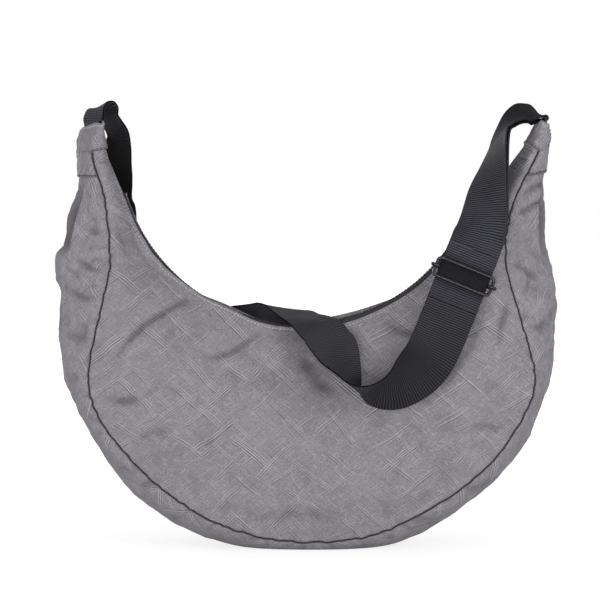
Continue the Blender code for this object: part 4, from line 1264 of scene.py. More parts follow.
def evened(lines):
    """Lines smoothed along the bag, so that no section shows as a corner."""
    reach = round(3 * SMOOTHING)
    first = 2 * lines[:1] - lines[1:reach + 1][::-1]
    last = 2 * lines[-1:] - lines[-reach - 1:-1][::-1]
    long = np.concatenate([first, lines, last])
    weights = np.exp(-0.5 * (np.arange(-reach, reach + 1) / SMOOTHING) ** 2)
    weights /= weights.sum()
    found = sum(weight * long[index:index + len(lines)] for index, weight in enumerate(weights))
    ends = np.minimum(np.arange(len(lines)), np.arange(len(lines))[::-1]) / (2 * SMOOTHING)
    share = np.clip(ends, 0, 1)[:, None, None]
    return lines * (1 - share) + found * share


def seam_wander():
    """How far the seams wander off their smooth line at each row, as vectors."""
    places = np.array(between_positions(0, LAST))
    seams = np.array([cut(place).front_seam for place in places])
    along = np.cumsum(np.linalg.norm(np.gradient(seams, axis=0), axis=1))
    ends = np.clip(np.minimum(places, LAST - places) - COLLAR_SPAN - 0.3, 0, 1)
    size = SEAM_WANDER * pucker_wave(along, 2.7) * ends
    ways = np.array([(cut(place).outer - cut(place).middle()).normalized() for place in places])
    return ways * size[:, None]


def lines_of(side):
    """Every row's line: -1 the front panel, 1 the back panel, 0 the gusset."""
    if side not in LINES:
        rows = []
        for position in between_positions(0, LAST):
            section = cut(position)
            rows.append(section.panel(side) if side else section.gusset())
        near_seam = np.abs(np.linspace(0 if side else -1, 1, len(rows[0]))) ** 10
        LINES[side] = evened(np.array(rows)) + seam_wander()[:, None] * near_seam[:, None]
        if not side:
            places = between_positions(0, LAST)
            ways = np.array([cut(place).outer - cut(place).middle() for place in places])
            share = np.linspace(-1, 1, 2 * LINE_STEPS + 1)
            round_over = np.cos(share * math.pi / 2)
            pulled = pleated(np.array(places)[:, None], share) * round_over
            ways = evened(ways[:, None])
            fuller = np.interp(places, *zip(*FULLNESS))[:, None] * MM * round_over
            fuller = fuller / np.linalg.norm(ways, axis=2)
            LINES[0] = LINES[0] + ways * (evened(fuller[..., None]) - pulled[..., None])
    return LINES[side]


def row_of(position):
    return round(position * ROW_STEPS)


def raised_hem(line, position, side):
    """A panel's line carried on up past its hem, over the edge of the zip."""
    band = min(max(smooth(COLUMNS[8], position), 0), 1)
    rise = np.interp(position, *zip(*FRONT_HEM_RISE)) * MM if side < 0 else HEM_RISE
    toward = np.array(ARC_CENTRE) - line[0]
    toward[1] = 0
    toward /= np.linalg.norm(toward)
    return np.concatenate([[line[0] + toward * rise * band], line])


def panel_surface(side):
    """The panel's fine grid with its creases, gathers and hem, and its normals."""
    if side in SURFACES:
        return SURFACES[side]
    cloth = bpy.context.scene.bag_cloth
    rows, reaches, totals = [], [], []
    for position, line in zip(between_positions(0, LAST), lines_of(side)):
        line = raised_hem(line, position, side)
        total = length_of(line)
        reach = edge_reaches(total, PANEL_COLUMNS, SEWN_EDGE)
        rows.append(resampled(line, reach))
        reaches.append(reach)
        totals.append(total)
    grid = np.array(rows)
    reach = np.array(reaches)
    total = np.array(totals)[:, None]
    out = outward_of(grid, side)
    from_hem, from_seam = reach, total - reach
    inside = np.clip(np.minimum(from_hem, from_seam) / (14 * MM), 0, 1)
    seed = np.array((3.1, 7.7 + side, 1.3))
    height = sum(share * cloth.crumple * inside * waves(grid, size, seed * turn)
                 for turn, (share, size) in enumerate(PANEL_WAVES, 1))
    height += 0.3 * cloth.crumple * inside * crisp_folds(grid, 44 * MM, seed * 5)
    mirror = np.array((1, -side, 1))
    pressed = PANEL_CREASE_LIFT * creased(grid * mirror, PANEL_CREASES) * inside
    height += pressed
    height += seam_gathers(1, run_along(grid[:, -1])[:, None], 5.1 + side, from_seam)
    gather = pucker_wave(run_along(grid[:, 0])[:, None], 11.3 + side)
    height += 0.45 * cloth.pucker * gather * bell(from_hem - 6 * MM, 5 * MM)
    height += hem_profile(from_hem)
    grid = grid + out * height[..., None]
    # Painted shade in hollows, beside the seams and in pressed creases
    PAINTED_SHADE_OF[side] = np.clip(FOLD_PAINTED_SHADE * (
        painted_fold_shade(height, np.minimum(from_seam, from_hem + 1.2 * MM))
        + 0.45 * np.clip(-pressed / (2 * MM), 0, 2)), 0, 1)
    HOLLOWS[side] = (reach, np.minimum(height, 0))
    SURFACES[side] = (grid, outward_of(grid, side), reach)
    return SURFACES[side]


def crisp_folds(grid, scale, seed):
    """Narrow hollows along the lines where smooth noise changes sign."""
    return -np.clip(1 - np.abs(waves(grid, scale, seed)) * 4, 0, 1) ** 1.5


def painted_fold_shade(height, from_edge):
    """Painted shade from 0 to 1: how deep in a fold or a seam each place lies."""
    wide = height.copy()
    for _ in range(12):
        wide[1:-1, 1:-1] = (wide[:-2, 1:-1] + wide[2:, 1:-1] + wide[1:-1, :-2] + wide[1:-1, 2:]) / 4
    hollow = np.clip((wide - height) / (0.9 * MM), 0, 1)
    seam = 0.9 * bell(from_edge, 1.0 * MM)
    return np.clip(hollow * 0.5 + seam, 0, 1)


def pucker_wave(along, seed):
    """Gathers of uneven length along a seam, about -1 to 1."""
    values = [noise.noise(Vector((float(place) / (7 * MM), seed, 0.0)))
              + 0.6 * noise.noise(Vector((float(place) / (3.2 * MM), seed + 9, 0.0)))
              for place in along.ravel()]
    return np.array(values).reshape(along.shape) * 1.4


def seam_gathers(share, along, seed, from_seam):
    """Puckers in the cloth beside a seam, highest a little way off it."""
    return (share * bpy.context.scene.bag_cloth.pucker * pucker_wave(along, seed)
            * np.exp(-from_seam / GATHER_REACH) * np.clip(from_seam / GATHER_START, 0, 1))


def hem_profile(from_hem):
    """The folded hem: rolled over at its edge, pulled down by its stitching."""
    edge = -0.7 * MM * bell(from_hem, 0.7 * MM)
    raised = 0.45 * MM * np.clip(1 - from_hem / (8 * MM), 0, 1) ** 0.5
    sewn = -0.5 * MM * bell(from_hem - 3.0 * MM, 0.8 * MM)
    return edge + raised + sewn


def build_panels():
    for name, side in (("front_panel", -1), ("back_panel", 1)):
        grid, _, _ = panel_surface(side)
        mesh = grid_mesh(name + "_cloth", grid, flat_plan(grid), flip=side < 0)
        keep_painted_shade(mesh, PAINTED_SHADE_OF[side])
        piece = new_piece(name + "_cloth", mesh, "nylon", [name])
        thicken(piece, NYLON_THICKNESS, -1)


# Keeps painted shade, from 0 to 1, on a mesh's points
def keep_painted_shade(mesh, shade):
    layer = mesh.attributes.new(PAINTED_SHADE_ATTRIBUTE, "FLOAT", "POINT")
    layer.data.foreach_set("value", shade.astype(np.float32).ravel())


def gusset_surface():
    if "gusset" in SURFACES:
        return SURFACES["gusset"]
    cloth = bpy.context.scene.bag_cloth
    rows, reaches, totals, pleats, calm = [], [], [], [], []
    shares = np.linspace(-1, 1, 2 * LINE_STEPS + 1)
    for position, line in zip(between_positions(0, LAST), lines_of(0)):
        total = length_of(line)
        reach = edge_reaches(total - SEWN_EDGE, GUSSET_COLUMNS, SEWN_EDGE)
        reach = reach + SEWN_EDGE
        rows.append(resampled(line, reach))
        reaches.append(reach)
        totals.append(total)
        at = np.interp(reach, run_along(line), shares)
        # Painted shade of the lengthwise folds
        pleats.append(pleat_painted_shade(position, at))
        calm.append(pleat_calm(position, at))
    grid = np.array(rows)
    reach = np.array(reaches)
    total = np.array(totals)[:, None]
    out = outward_of(grid, -1)
    nearest = np.minimum(reach, total - reach)
    inside = np.clip(nearest / (12 * MM), 0, 1)
    place = np.array(between_positions(0, LAST))[:, None]
    ends = 1 + 0.9 * (bell(place - 4, 2.2) + bell(place - 20.5, 2.2))
    seed = np.array((9.4, 2.2, 5.9))
    height = 1.2 * cloth.crumple * ends * inside * waves(grid, 30 * MM, seed)
    height += 0.4 * cloth.crumple * ends * inside * waves(grid, 12 * MM, seed * 3)
    height += 0.55 * cloth.crumple * ends * inside * crisp_folds(grid, 26 * MM, seed * 5)
    height *= 1 - 0.9 * np.clip(1.6 * np.array(calm), 0, 1)
    front = np.clip(-grid[..., 1] / (8 * MM), 0, 1)
    back = np.clip(grid[..., 1] / (8 * MM), 0, 1)
    pressed = creased(grid, GUSSET_CREASES) * front
    pressed += creased(grid * np.array((1, -1, 1)), GUSSET_CREASES) * back
    pressed *= np.clip(nearest / (5 * MM), 0, 1)
    height += GUSSET_CREASE_LIFT * pressed
    along = run_along(grid[:, GUSSET_COLUMNS // 2])[:, None]
    for seed, from_seam in ((21.7, reach), (33.1, total - reach)):
        height += seam_gathers(1.6, along, seed, from_seam)
    standing = np.clip((grid[..., 2] - 1.2 * MM) / (8 * MM), 0, 1)
    grid = grid + out * (height * standing)[..., None]
    grid[..., 2] = np.maximum(grid[..., 2], 0)
    HOLLOWS[0] = (reach, np.minimum(height, 0))
    # Painted shade in the folds, in hollows, beside the seams and in pressed creases
    PAINTED_SHADE_OF[0] = np.clip(np.array(pleats) + FOLD_PAINTED_SHADE * (
        painted_fold_shade(height, nearest) + 0.35 * np.clip(-pressed / (2 * MM), 0, 1)), 0, 1)
    SURFACES["gusset"] = (grid, outward_of(grid, -1), reach)
    return SURFACES["gusset"]


def build_gusset():
    grid, _, _ = gusset_surface()
    mesh = grid_mesh("gusset_cloth", grid, unrolled_plan(grid), flip=True)
    keep_painted_shade(mesh, PAINTED_SHADE_OF[0])
    piece = new_piece("gusset_cloth", mesh, "nylon", ["gusset"])
    thicken(piece, NYLON_THICKNESS, -1)


def inward(grid, sign, depth):
    return grid - outward_of(grid, sign) * depth


def lining_grid(side, start, count):
    """Rows of lining, kept behind every hollow of the cloth outside it."""
    outer_reach, hollow = HOLLOWS[side]
    rows, depths = [], []
    for place in between_positions(LINING_START, LAST - LINING_START, 5):
        row = row_of(place)
        line = lines_of(side)[row]
        reach = np.linspace(start, length_of(line) - LINING_ALLOWANCE, count)
        rows.append(resampled(line, reach))
        depths.append(np.interp(reach, outer_reach[row], hollow[row]))
    depth = NYLON_THICKNESS + LINING_GAP - np.array(depths)
    grid = np.array(rows)
    return grid - outward_of(grid, side or -1) * depth[..., None]


def build_linings():
    below = ZIP_TAPE_OVERLAP + LINING_BELOW_TAPE
    for name, side, start, count in (("front_lining", -1, below, 30),
                                     ("back_lining", 1, below, 30),
                                     ("gusset_lining", 0, LINING_ALLOWANCE, 60)):
        grid = lining_grid(side, start, count)
        plan = flat_plan(grid) if side else unrolled_plan(grid)
        mesh = grid_mesh(name + "_cloth", grid, plan, flip=side <= 0)
        piece = new_piece(name + "_cloth", mesh, "lining", [name])
        thicken(piece, LINING_THICKNESS, -1)


def build_piping():
    """The cord in each seam, its cloth cover slightly uneven."""
    first = row_of(COLLAR_SPAN) + 1
    rows = range(first, row_of(LAST) - first + 1)
    for name, side in (("front_piping", -1), ("back_piping", 1)):
        out, out_gusset = panel_surface(side)[1], gusset_surface()[1]
        points = []
        for row in rows:
            near = out_gusset[row, 0 if side < 0 else -1]
            way = Vector(out[row, -1] + near).normalized()
            points.append(Vector(lines_of(side)[row, -1]) + way * PIPING_PROUD)
        rings = tube_rings(points, [PIPING_RADIUS] * len(points), 14,
                           np.repeat([[0.0, 1.0, 0.0]], len(points), axis=0))
        over = np.linspace(0, 2 * math.pi * PIPING_RADIUS, 15)
        closed = np.concatenate([rings, rings[:, :1]], axis=1)
        plan = np.stack(np.meshgrid(run_along(points), over, indexing="ij"), axis=-1)
        mesh = closed_up(grid_mesh(name + "_cord", closed, plan), 0.001 * MM)
        new_piece(name + "_cord", mesh, "piping", [name])


def ring_grid(places):
    """The outline of the outer cloth at positions, as a closed grid."""
    front, back, gusset = panel_surface(-1)[0], panel_surface(1)[0], gusset_surface()[0]
    rows = [row_of(place) for place in places]
    return np.concatenate([front[rows], gusset[rows], back[rows][:, ::-1]], axis=1)


def closed_outward(grid, way):
    along = np.gradient(grid, axis=0)
    over = (np.roll(grid, -1, axis=1) - np.roll(grid, 1, axis=1)) / 2
    normal = -np.cross(along, over) * way
    return normal / np.maximum(np.linalg.norm(normal, axis=2, keepdims=True), 1e-12)


def evened_loops(grid, count):
    """Closed loops walked again at even steps, so that seams don't fold them."""
    loops = []
    for loop in grid:
        closed = np.concatenate([loop, loop[:1]])
        loops.append(resampled(closed, np.linspace(0, length_of(closed), count + 1)[:-1]))
    return np.array(loops)


COLLAR_COLUMNS = 150
COLLAR_RISE = 1.8 * MM
OVERLOCK_COLUMN = 3
COLLAR_SEAM_SHARE = 0.09
COLLAR_THREAD = 0.3 * MM
COLLAR_SEAM_THREAD = 0.36 * MM
# How far above the cloth a stitch's middle line starts
THREAD_LIFT = 0.05 * MM
HEM_STITCH_COLUMN = 5


def build_collars():
    """The sewn sleeve round each tip, with a longer facing over the gusset."""
    for side, end, way in (("left", 0, 1), ("right", LAST, -1)):
        places = between_positions(end, end + way * COLLAR_SPAN)
        grid = evened_loops(ring_grid(places), COLLAR_COLUMNS)
        above = grid[0] + (grid[0] - grid[1]) * COLLAR_RISE / np.linalg.norm(
            grid[0] - grid[1], axis=1).mean()
        ragged = waves(above[None], 2.5 * MM, np.array((6.1, end, 2.9)))[0]
        above = above + (grid[0] - grid[1]) * ragged[:, None] * 0.35
        grid = np.concatenate([above[None], grid])
        out = closed_outward(grid, way)
        share = np.linspace(0, 1, len(grid))[:, None]
        lift = CLOTH_GAP + 0.35 * MM * bell(share, 0.08)
        lift = lift + 0.6 * MM * np.sin(math.pi * share) * waves(
            grid, 10 * MM, np.array((1.7, 4.4, end)))
        grid = grid + out * np.maximum(lift, 0.25 * MM)[..., None]
        out = closed_outward(grid, way)
        along = np.linalg.norm(np.diff(grid, axis=0), axis=2).mean(axis=1)
        along = np.concatenate([[0], np.cumsum(along)])
        loop = np.linspace(0, length_of(grid[0]), COLLAR_COLUMNS)
        plan = np.stack(np.meshgrid(along, loop, indexing="ij"), axis=-1)
        mesh = grid_mesh(side + "_collar_cloth", grid, plan, flip=way > 0, closed=True)
        first, last = gusset_columns(end + way * COLLAR_SPAN)
        panels = np.ones(COLLAR_COLUMNS)
        panels[first:last] = 0
        # Painted shade along the collar's lower rim over the panels
        keep_painted_shade(mesh, 0.75 * bell(share - 1, 0.05) * panels)
        piece = new_piece(side + "_collar_cloth", mesh, "nylon", [side + "_collar"])
        thicken(piece, COLLAR_THICKNESS, 1)
        face = grid + out * (COLLAR_THICKNESS + THREAD_LIFT)
        collar_stitching(side, face, out, first, last)
        build_facing(side, end, way)


def gusset_columns(place):
    """Which of a collar's columns lie over the gusset."""
    row = row_of(place)
    front, back = panel_surface(-1)[0][row], panel_surface(1)[0][row]
    lengths = [length_of(front), length_of(gusset_surface()[0][row]), length_of(back)]
    total = sum(lengths)
    return (round(lengths[0] / total * COLLAR_COLUMNS),
            round((lengths[0] + lengths[1]) / total * COLLAR_COLUMNS))


def collar_stitching(side, face, out, first, last):
    """Overlocked edges and the hem's stitches on a collar."""
    low = len(face) - 2
    count = face.shape[1]
    hems = (slice(2, first), slice(last, count - 1))
    stitches(side + "_collar_hem_stitches", [(face[low, hem], out[low, hem]) for hem in hems],
             "dark thread", radius=COLLAR_THREAD)
    zigzag = [(column % 2 + 1, column % count) for column in range(count + 1)]
    runs = [([face[place] for place in zigzag], [out[place] for place in zigzag])]
    for column in (OVERLOCK_COLUMN, OVERLOCK_COLUMN + 1):
        edge = [(row, column + (row + column) % 2 * 2) for row in range(1, low)]
        runs.append(([face[place] for place in edge], [out[place] for place in edge]))
    stitches(side + "_collar_overlock", runs, "frayed thread", 1.9 * MM, 0.4 * MM,
             COLLAR_THREAD)


def build_collar_seam():
    """The dark stitched line that closes the right collar."""
    gusset, out, _ = gusset_surface()
    rows = [row_of(place) for place in between_positions(LAST - 0.9, LAST)]
    column = round(COLLAR_SEAM_SHARE * GUSSET_COLUMNS)
    lift = CLOTH_GAP + COLLAR_THICKNESS + 0.3 * MM
    stitches("right_collar_seam_stitches",
             [(gusset[rows, column] + out[rows, column] * lift, out[rows, column])],
             "dark thread", radius=COLLAR_SEAM_THREAD)


def build_facing(side, end, way):
    """The cloth over the gusset below a collar, hemmed at its end."""
    gusset, _, _ = gusset_surface()
    places = between_positions(end + way * (COLLAR_SPAN + 1 / ROW_STEPS), end + way * FACING_SPAN)
    rows = [row_of(place) for place in places]
    grid = gusset[rows][:, 1:-1]
    above = grid[0] + (grid[0] - grid[1]) * 0.96
    grid = np.concatenate([above[None], grid])
    sign = -1 * way
    share = np.linspace(0, 1, len(grid))[:, None]
    sewn = bell(share - 1, 0.08)
    out = outward_of(grid, sign)
    grid = grid + out * CLOTH_GAP
    out = outward_of(grid, sign)
    plan = unrolled_plan(grid) + np.array((0.31, 0.17))
    mesh = grid_mesh(side + "_gusset_facing_cloth", grid, plan, flip=way > 0)
    # Painted shade along the facing's hemmed end
    keep_painted_shade(mesh, 0.6 * sewn + np.zeros(grid.shape[:2]))
    piece = new_piece(side + "_gusset_facing_cloth", mesh, "nylon", [side + "_gusset_facing"])
    taper(thicken(piece, COLLAR_THICKNESS, 1), grid.shape)
    face = grid + out * (COLLAR_THICKNESS + THREAD_LIFT)
    stitches(side + "_facing_stitches", [(face[-2], out[-2])], "dark thread")


def build_hem_stitching():
    """The pale top stitching just below both hems of the mouth."""
    for name, side in (("front_hem_stitches", -1), ("back_hem_stitches", 1)):
        grid, out, _ = panel_surface(side)
        rows = [index for index, place in enumerate(between_positions(0, LAST))
                if COLLAR_SPAN + 0.3 < place < LAST - COLLAR_SPAN - 0.3]
        runs = [(grid[rows, HEM_STITCH_COLUMN] + out[rows, HEM_STITCH_COLUMN] * THREAD_LIFT, out[rows, HEM_STITCH_COLUMN])]
        stitches(name, runs, "pale thread")


# -------------------------------------------------------------------- the zip

def arc_frame(degrees):
    """Axes on the zip: X along it, Y to the back, Z out of the bag."""
    angle = math.radians(degrees)
    along = Vector((math.cos(angle), 0, math.sin(angle)))
    out = Vector((-math.sin(angle), 0, math.cos(angle)))
    turn = Matrix((along, Vector((0, 1, 0)), out)).transposed().to_4x4()
    return Matrix.Translation(arc_point(degrees, ZIP_RADIUS)) @ turn


def build_tapes():
    places = [place for place in between_positions(0, LAST)
              if ZIP_START_DEG <= cut(place).angle <= ZIP_END_DEG]
    depth = NYLON_THICKNESS + CLOTH_GAP + ZIP_TAPE_THICKNESS / 2
    for name, side in (("zip_tape_front", -1), ("zip_tape_back", 1)):
        lines = []
        for place in places:
            line = lines_of(side)[row_of(place)]
            lines.append(resampled(line, [0, TAPE_UNDER_HEM, ZIP_TAPE_OVERLAP - CLOTH_GAP]))
        lines = np.array(lines)
        lip = inward(lines, side, depth + TAPE_LIP)
        tucked = inward(lines, side, depth)
        rows = []
        for index, place in enumerate(places):
            angle = cut(place).angle
            inner = arc_point(angle, ZIP_RADIUS, side * (CHAIN_HALF_WIDTH + CLOTH_GAP))
            flat = arc_point(angle, ZIP_RADIUS, side * TAPE_FLAT_HALF_WIDTH)
            corners = [inner, flat, Vector(lip[index, 0]), Vector(tucked[index, 1]),
                       Vector(lip[index, 2])]
            row = [inner, inner.lerp(flat, 0.5)]
            row += [smooth(corners[1:], step / 4) for step in range(13)]
            rows.append([tuple(point) for point in row])
        grid = np.array(rows)
        mesh = grid_mesh(name + "_cloth", grid, unrolled_plan(grid), flip=side < 0)
        piece = new_piece(name + "_cloth", mesh, "tape", [name])
        thicken(piece, ZIP_TAPE_THICKNESS, 0)


TOOTH_OUTLINE = [(-0.55, 3.5), (-0.55, 1.5), (-0.85, 1.1), (-0.85, 0.55), (-0.5, 0.3),
                 (0.5, 0.3), (0.85, 0.55), (0.85, 1.1), (0.55, 1.5), (0.55, 3.5)]


def build_teeth():
    """Moulded teeth on each tape, one row half a pitch behind the other."""
    pitch = bpy.context.scene.bag_zip.tooth_pitch
    step = math.degrees(pitch / ZIP_RADIUS)
    stop = math.degrees(STOP_LENGTH / ZIP_RADIUS)
    half = TOOTH_HEIGHT / 2
    count = int((ZIP_END_DEG - ZIP_START_DEG - 2 * stop) / step)
    for name, side in (("zip_teeth_front", -1), ("zip_teeth_back", 1)):
        bm = bmesh.new()
        begin = ZIP_START_DEG + stop + step / 2 + (step / 2 if side > 0 else 0)
        for index in range(count):
            turn = arc_frame(begin + index * step)
            rings = []
            for level, grow in ((-half, 0.82), (-half * 0.55, 1), (half * 0.55, 1), (half, 0.82)):
                ring = [bm.verts.new(turn @ Vector((x * MM * grow,
                                                    side * (2 + (y - 2) * grow) * MM, level)))
                        for x, y in TOOTH_OUTLINE]
                rings.append(ring)
            bm.faces.new(rings[0][::-1])
            bm.faces.new(rings[-1])
            for low, high in zip(rings, rings[1:]):
                walled(bm, low, high)
        bmesh.ops.recalc_face_normals(bm, faces=bm.faces)
        new_piece(name + "_row", mesh_from(bm, name + "_row"), "teeth", [name])
    for name, angle, sign in (("zip_bottom_stop", ZIP_START_DEG, 1),
                              ("zip_top_stop", ZIP_END_DEG, -1)):
        middle = angle + sign * stop / 2 - sign * math.degrees(CLOTH_GAP / ZIP_RADIUS) / 2
        long = (STOP_LENGTH - CLOTH_GAP) / 2
        wide = CHAIN_HALF_WIDTH
        outline = [(-long, -wide), (long, -wide), (long, wide), (-long, wide)]
        plate(name + "_clamp", outline, -half, half, 0.5 * MM, [name], BAG, arc_frame(middle))


def build_slider():
    """The slider's two plates, its bridge and its pull."""
    turn = arc_frame(SLIDER_REST_DEG)
    inner = TOOTH_HEIGHT / 2 + SLIDER_GAP
    outer = inner + SLIDER_PLATE
    half_length = SLIDER_LENGTH / 2
    wide = SLIDER_HALF_WIDTH
    nose = [(half_length, -0.55 * wide), (half_length - 0.6 * MM, -0.8 * wide),
            (half_length - 2.2 * MM, -wide)]
    tail = [(-half_length + 1.5 * MM, -wide), (-half_length, -0.82 * wide)]
    side = nose + tail
    outline = side + [(x, -y) for x, y in side[::-1]]
    plate("zip_slider_top", outline, inner, outer, SLIDER_ROUNDING, ["zip_slider"], "zip_slider", turn)
    plate("zip_slider_base", outline, -outer, -inner, SLIDER_ROUNDING, [], "zip_slider", turn)
    for index, sign in enumerate((-1, 1)):
        wall = sign * (CHAIN_HALF_WIDTH + SLIDER_GAP)
        edge = sign * wide
        back, front = -half_length + 1.6 * MM, half_length - 2.3 * MM
        lip = [(back, wall), (front, wall), (front, edge), (back, edge)]
        for level, (low, high) in enumerate(((inner - SLIDER_LIP, inner + 0.2 * MM),
                                             (-inner - 0.2 * MM, -inner + SLIDER_LIP))):
            plate(f"zip_slider_flange_{index}_{level}", lip, low, high, 0.15 * MM, [],
                  "zip_slider", turn)
    top = outer + BRIDGE_CLEAR
    foot = BRIDGE_LENGTH / 2
    foot_height = outer - BRIDGE_SUNK
    arch = [(-foot, foot_height), (-foot, top - 0.6 * MM), (-foot + 0.5 * MM, top + 0.6 * MM),
            (-foot + 1.8 * MM, top + BRIDGE_WIRE), (foot - 1.8 * MM, top + BRIDGE_WIRE),
            (foot - 0.5 * MM, top + 0.6 * MM), (foot, top - 0.6 * MM), (foot, foot_height),
            (foot - BRIDGE_WIRE, foot_height), (foot - BRIDGE_WIRE, top - 0.5 * MM),
            (foot - 1.9 * MM, top), (-foot + 1.9 * MM, top), (-foot + BRIDGE_WIRE, top - 0.5 * MM),
            (-foot + BRIDGE_WIRE, foot_height)]
    upright = turn @ Matrix.Rotation(math.pi / 2, 4, "X")
    plate("zip_slider_bridge", arch, -BRIDGE_WIDTH / 2, BRIDGE_WIDTH / 2, 0.3 * MM, [],
          "zip_slider", upright)
    build_pull(turn, outer + BRIDGE_CLEAR / 2)


def build_pull(turn, height):
    """A plain pull whose cross bar turns under the slider's bridge."""
    bar = BRIDGE_CLEAR / 2 - PULL_GAP
    inside = BRIDGE_WIDTH / 2 + PULL_GAP
    eye = bar + PULL_EYE_LENGTH
    half = PULL_HALF_WIDTH
    taper = half * 0.72
    rows = [(-bar, half), (bar, half), (eye, half), (eye + half, taper)]
    rows += [(PULL_LENGTH - taper, taper), (PULL_LENGTH - taper * 0.4, taper * 0.85),
             (PULL_LENGTH, taper * 0.5)]
    bm = bmesh.new()
    grid = []
    for x, reach in rows:
        inner_y = min(inside, reach / 2)
        grid.append([bm.verts.new((x, y, 0)) for y in (-reach, -inner_y, inner_y, reach)])
    for i in range(len(rows) - 1):
        for j in range(3):
            if (i, j) != (1, 1):
                bm.faces.new((grid[i][j], grid[i + 1][j], grid[i + 1][j + 1], grid[i][j + 1]))
    placed = turn @ Matrix.Translation((0, 0, height)) @ Matrix.Rotation(math.pi, 4, "Z")
    bmesh.ops.transform(bm, matrix=placed, verts=bm.verts)
    mesh = mesh_from(bm, "zip_pull_tab")
    mesh.shade_smooth()
    pull = thicken(new_piece("zip_pull_tab", mesh, "metal", ["zip_pull"], "zip_pull"),
                   PULL_THICKNESS, 0)
    round_edges(pull, SLIDER_ROUNDING, 30)


# ------------------------------------------------------------------ the strap

class Ribbon:
    """Stations of flat webbing: its middle, its run and the way across it."""

    def __init__(self):
        self.middles = []
        self.acrosses = []
        self.kept = set()

    def add(self, middle, across, keep=False):
        if keep:
            self.kept.add(len(self.middles))
        self.middles.append(Vector(middle))
        self.acrosses.append(Vector(across).normalized())

    def squared(self):
        """Middles with the across direction squared to the run, and the face."""
        found = []
        last = len(self.middles) - 1
        for i, middle in enumerate(self.middles):
            run = self.middles[min(i + 1, last)] - self.middles[max(i - 1, 0)]
            run.normalize()
            across = self.acrosses[i]
            if i not in self.kept:
                across = (across - run * across.dot(run)).normalized()
            found.append((middle, across, run.cross(across)))
        return found

    def fine(self, steps=STATION_STEPS):
        """Closely spaced stations: middles, acrosses, faces and lengths."""
        stations = self.squared()
        middles = [station[0] for station in stations]
        acrosses = [station[1] for station in stations]
        count = (len(stations) - 1) * steps
        places = np.array([smooth(middles, i / steps) for i in range(count + 1)])
        across = np.array([smooth(acrosses, i / steps).normalized() for i in range(count + 1)])
        run = np.gradient(places, axis=0)
        run /= np.linalg.norm(run, axis=1, keepdims=True)
        face = np.cross(run, across)
        face /= np.linalg.norm(face, axis=1, keepdims=True)
        return places, across, face, run_along(places)


EDGE_ROUND = [(-0.5, 0.0), (-0.499, 0.4), (-0.492, 0.6), (-0.48, 0.64), (-0.468, 0.58),
              (-0.456, 0.5)]


def webbing_profile(columns=16):
    """The cut across webbing: (across, out) in shares of width and thickness."""
    top = EDGE_ROUND + [(-0.456 + 0.912 * i / columns, 0.5) for i in range(1, columns)]
    top += [(-x, y) for x, y in EDGE_ROUND[::-1]]
    return top + [(x, -y) for x, y in top[::-1][1:-1]]


# Painted shade where the strap lies in its own shade: column, row, reach in pixels, and how dark
PAINTED_SHADE_PLACES = [(124, 185, 58, 0.9), (522, 113, 34, 0.85), (398, 388, 46, 0.5),
                 (436, 330, 40, 0.35), (462, 275.3, 9.5, 1), (322, 309, 15, 0.6)]
# Width of the edge painted black on one side of the strap alone: painted shade along its near edge
PAINTED_EDGE_WIDTH = 0.4 * MM


# Painted shade on the strap, from 0 to 1, by where its middle line lies
def strap_painted_shade(places):
    column, row = pixels_of(places)
    shade = sum(dark * np.exp(-(np.hypot(column - x, row - y) / reach) ** 4)
                for x, y, reach, dark in PAINTED_SHADE_PLACES)
    return np.clip(shade, 0, 1)


def webbing(name, ribbon, width, thickness, nodes, body=BAG, steps=STATION_STEPS):
    """A solid band of webbing along a ribbon's stations."""
    places, across, face, lengths = ribbon.fine(steps)
    profile = np.array(webbing_profile())
    grid = (places[:, None] + across[:, None] * (profile[None, :, :1] * width)
            + face[:, None] * (profile[None, :, 1:] * thickness))
    closed = np.concatenate([grid, grid[:, :1]], axis=1)
    over = np.concatenate([profile[:, 0], profile[:1, 0]]) * width
    plan = np.stack([np.repeat(over[None], len(places), axis=0),
                     np.repeat(lengths[:, None], len(over), axis=1)], axis=-1)
    mesh = grid_mesh(name, closed, plan)
    keep_painted_shade(mesh, strap_painted_shade(places)[:, None] + np.zeros(closed.shape[:2]))
    # Faces of the one edge that gets the black painted shade
    shaded_edge_faces = (over[:-1] + over[1:]) / 2 < PAINTED_EDGE_WIDTH - width / 2
    mesh.polygons.foreach_set("material_index", np.tile(shaded_edge_faces, len(places) - 1).astype(np.int32))
    closed_up(mesh, 0.0005 * MM).shade_smooth()
    mesh.set_sharp_from_angle(angle=math.radians(50))
    piece = new_piece(name, mesh, "webbing", nodes, body)
    mesh.materials.append(FINISHES["selvedge"])
    return piece, lengths[-1]


def route(points):
    places = [spot((column, row), depth * STRAP_WIDTH) for column, row, depth, *_ in points]
    return places, [Vector(across) for _, _, _, *across in points]


def adjuster_axes():
    """The adjuster's middle, the way down the strap and the way across it."""
    middle = spot(ADJUSTER_PX, ADJUSTER_DEPTH_SHARE * STRAP_WIDTH)
    run = Vector(ADJUSTER_RUN).normalized()
    across = Vector(ADJUSTER_ACROSS)
    across = (across - run * across.dot(run)).normalized()
    return middle, run, across


def ring_middle():
    end = cut(LAST).core()
    return end + Vector((0, 0, RING_HEIGHT - RING_SUNK - 2 * RING_WIRE_RADIUS))


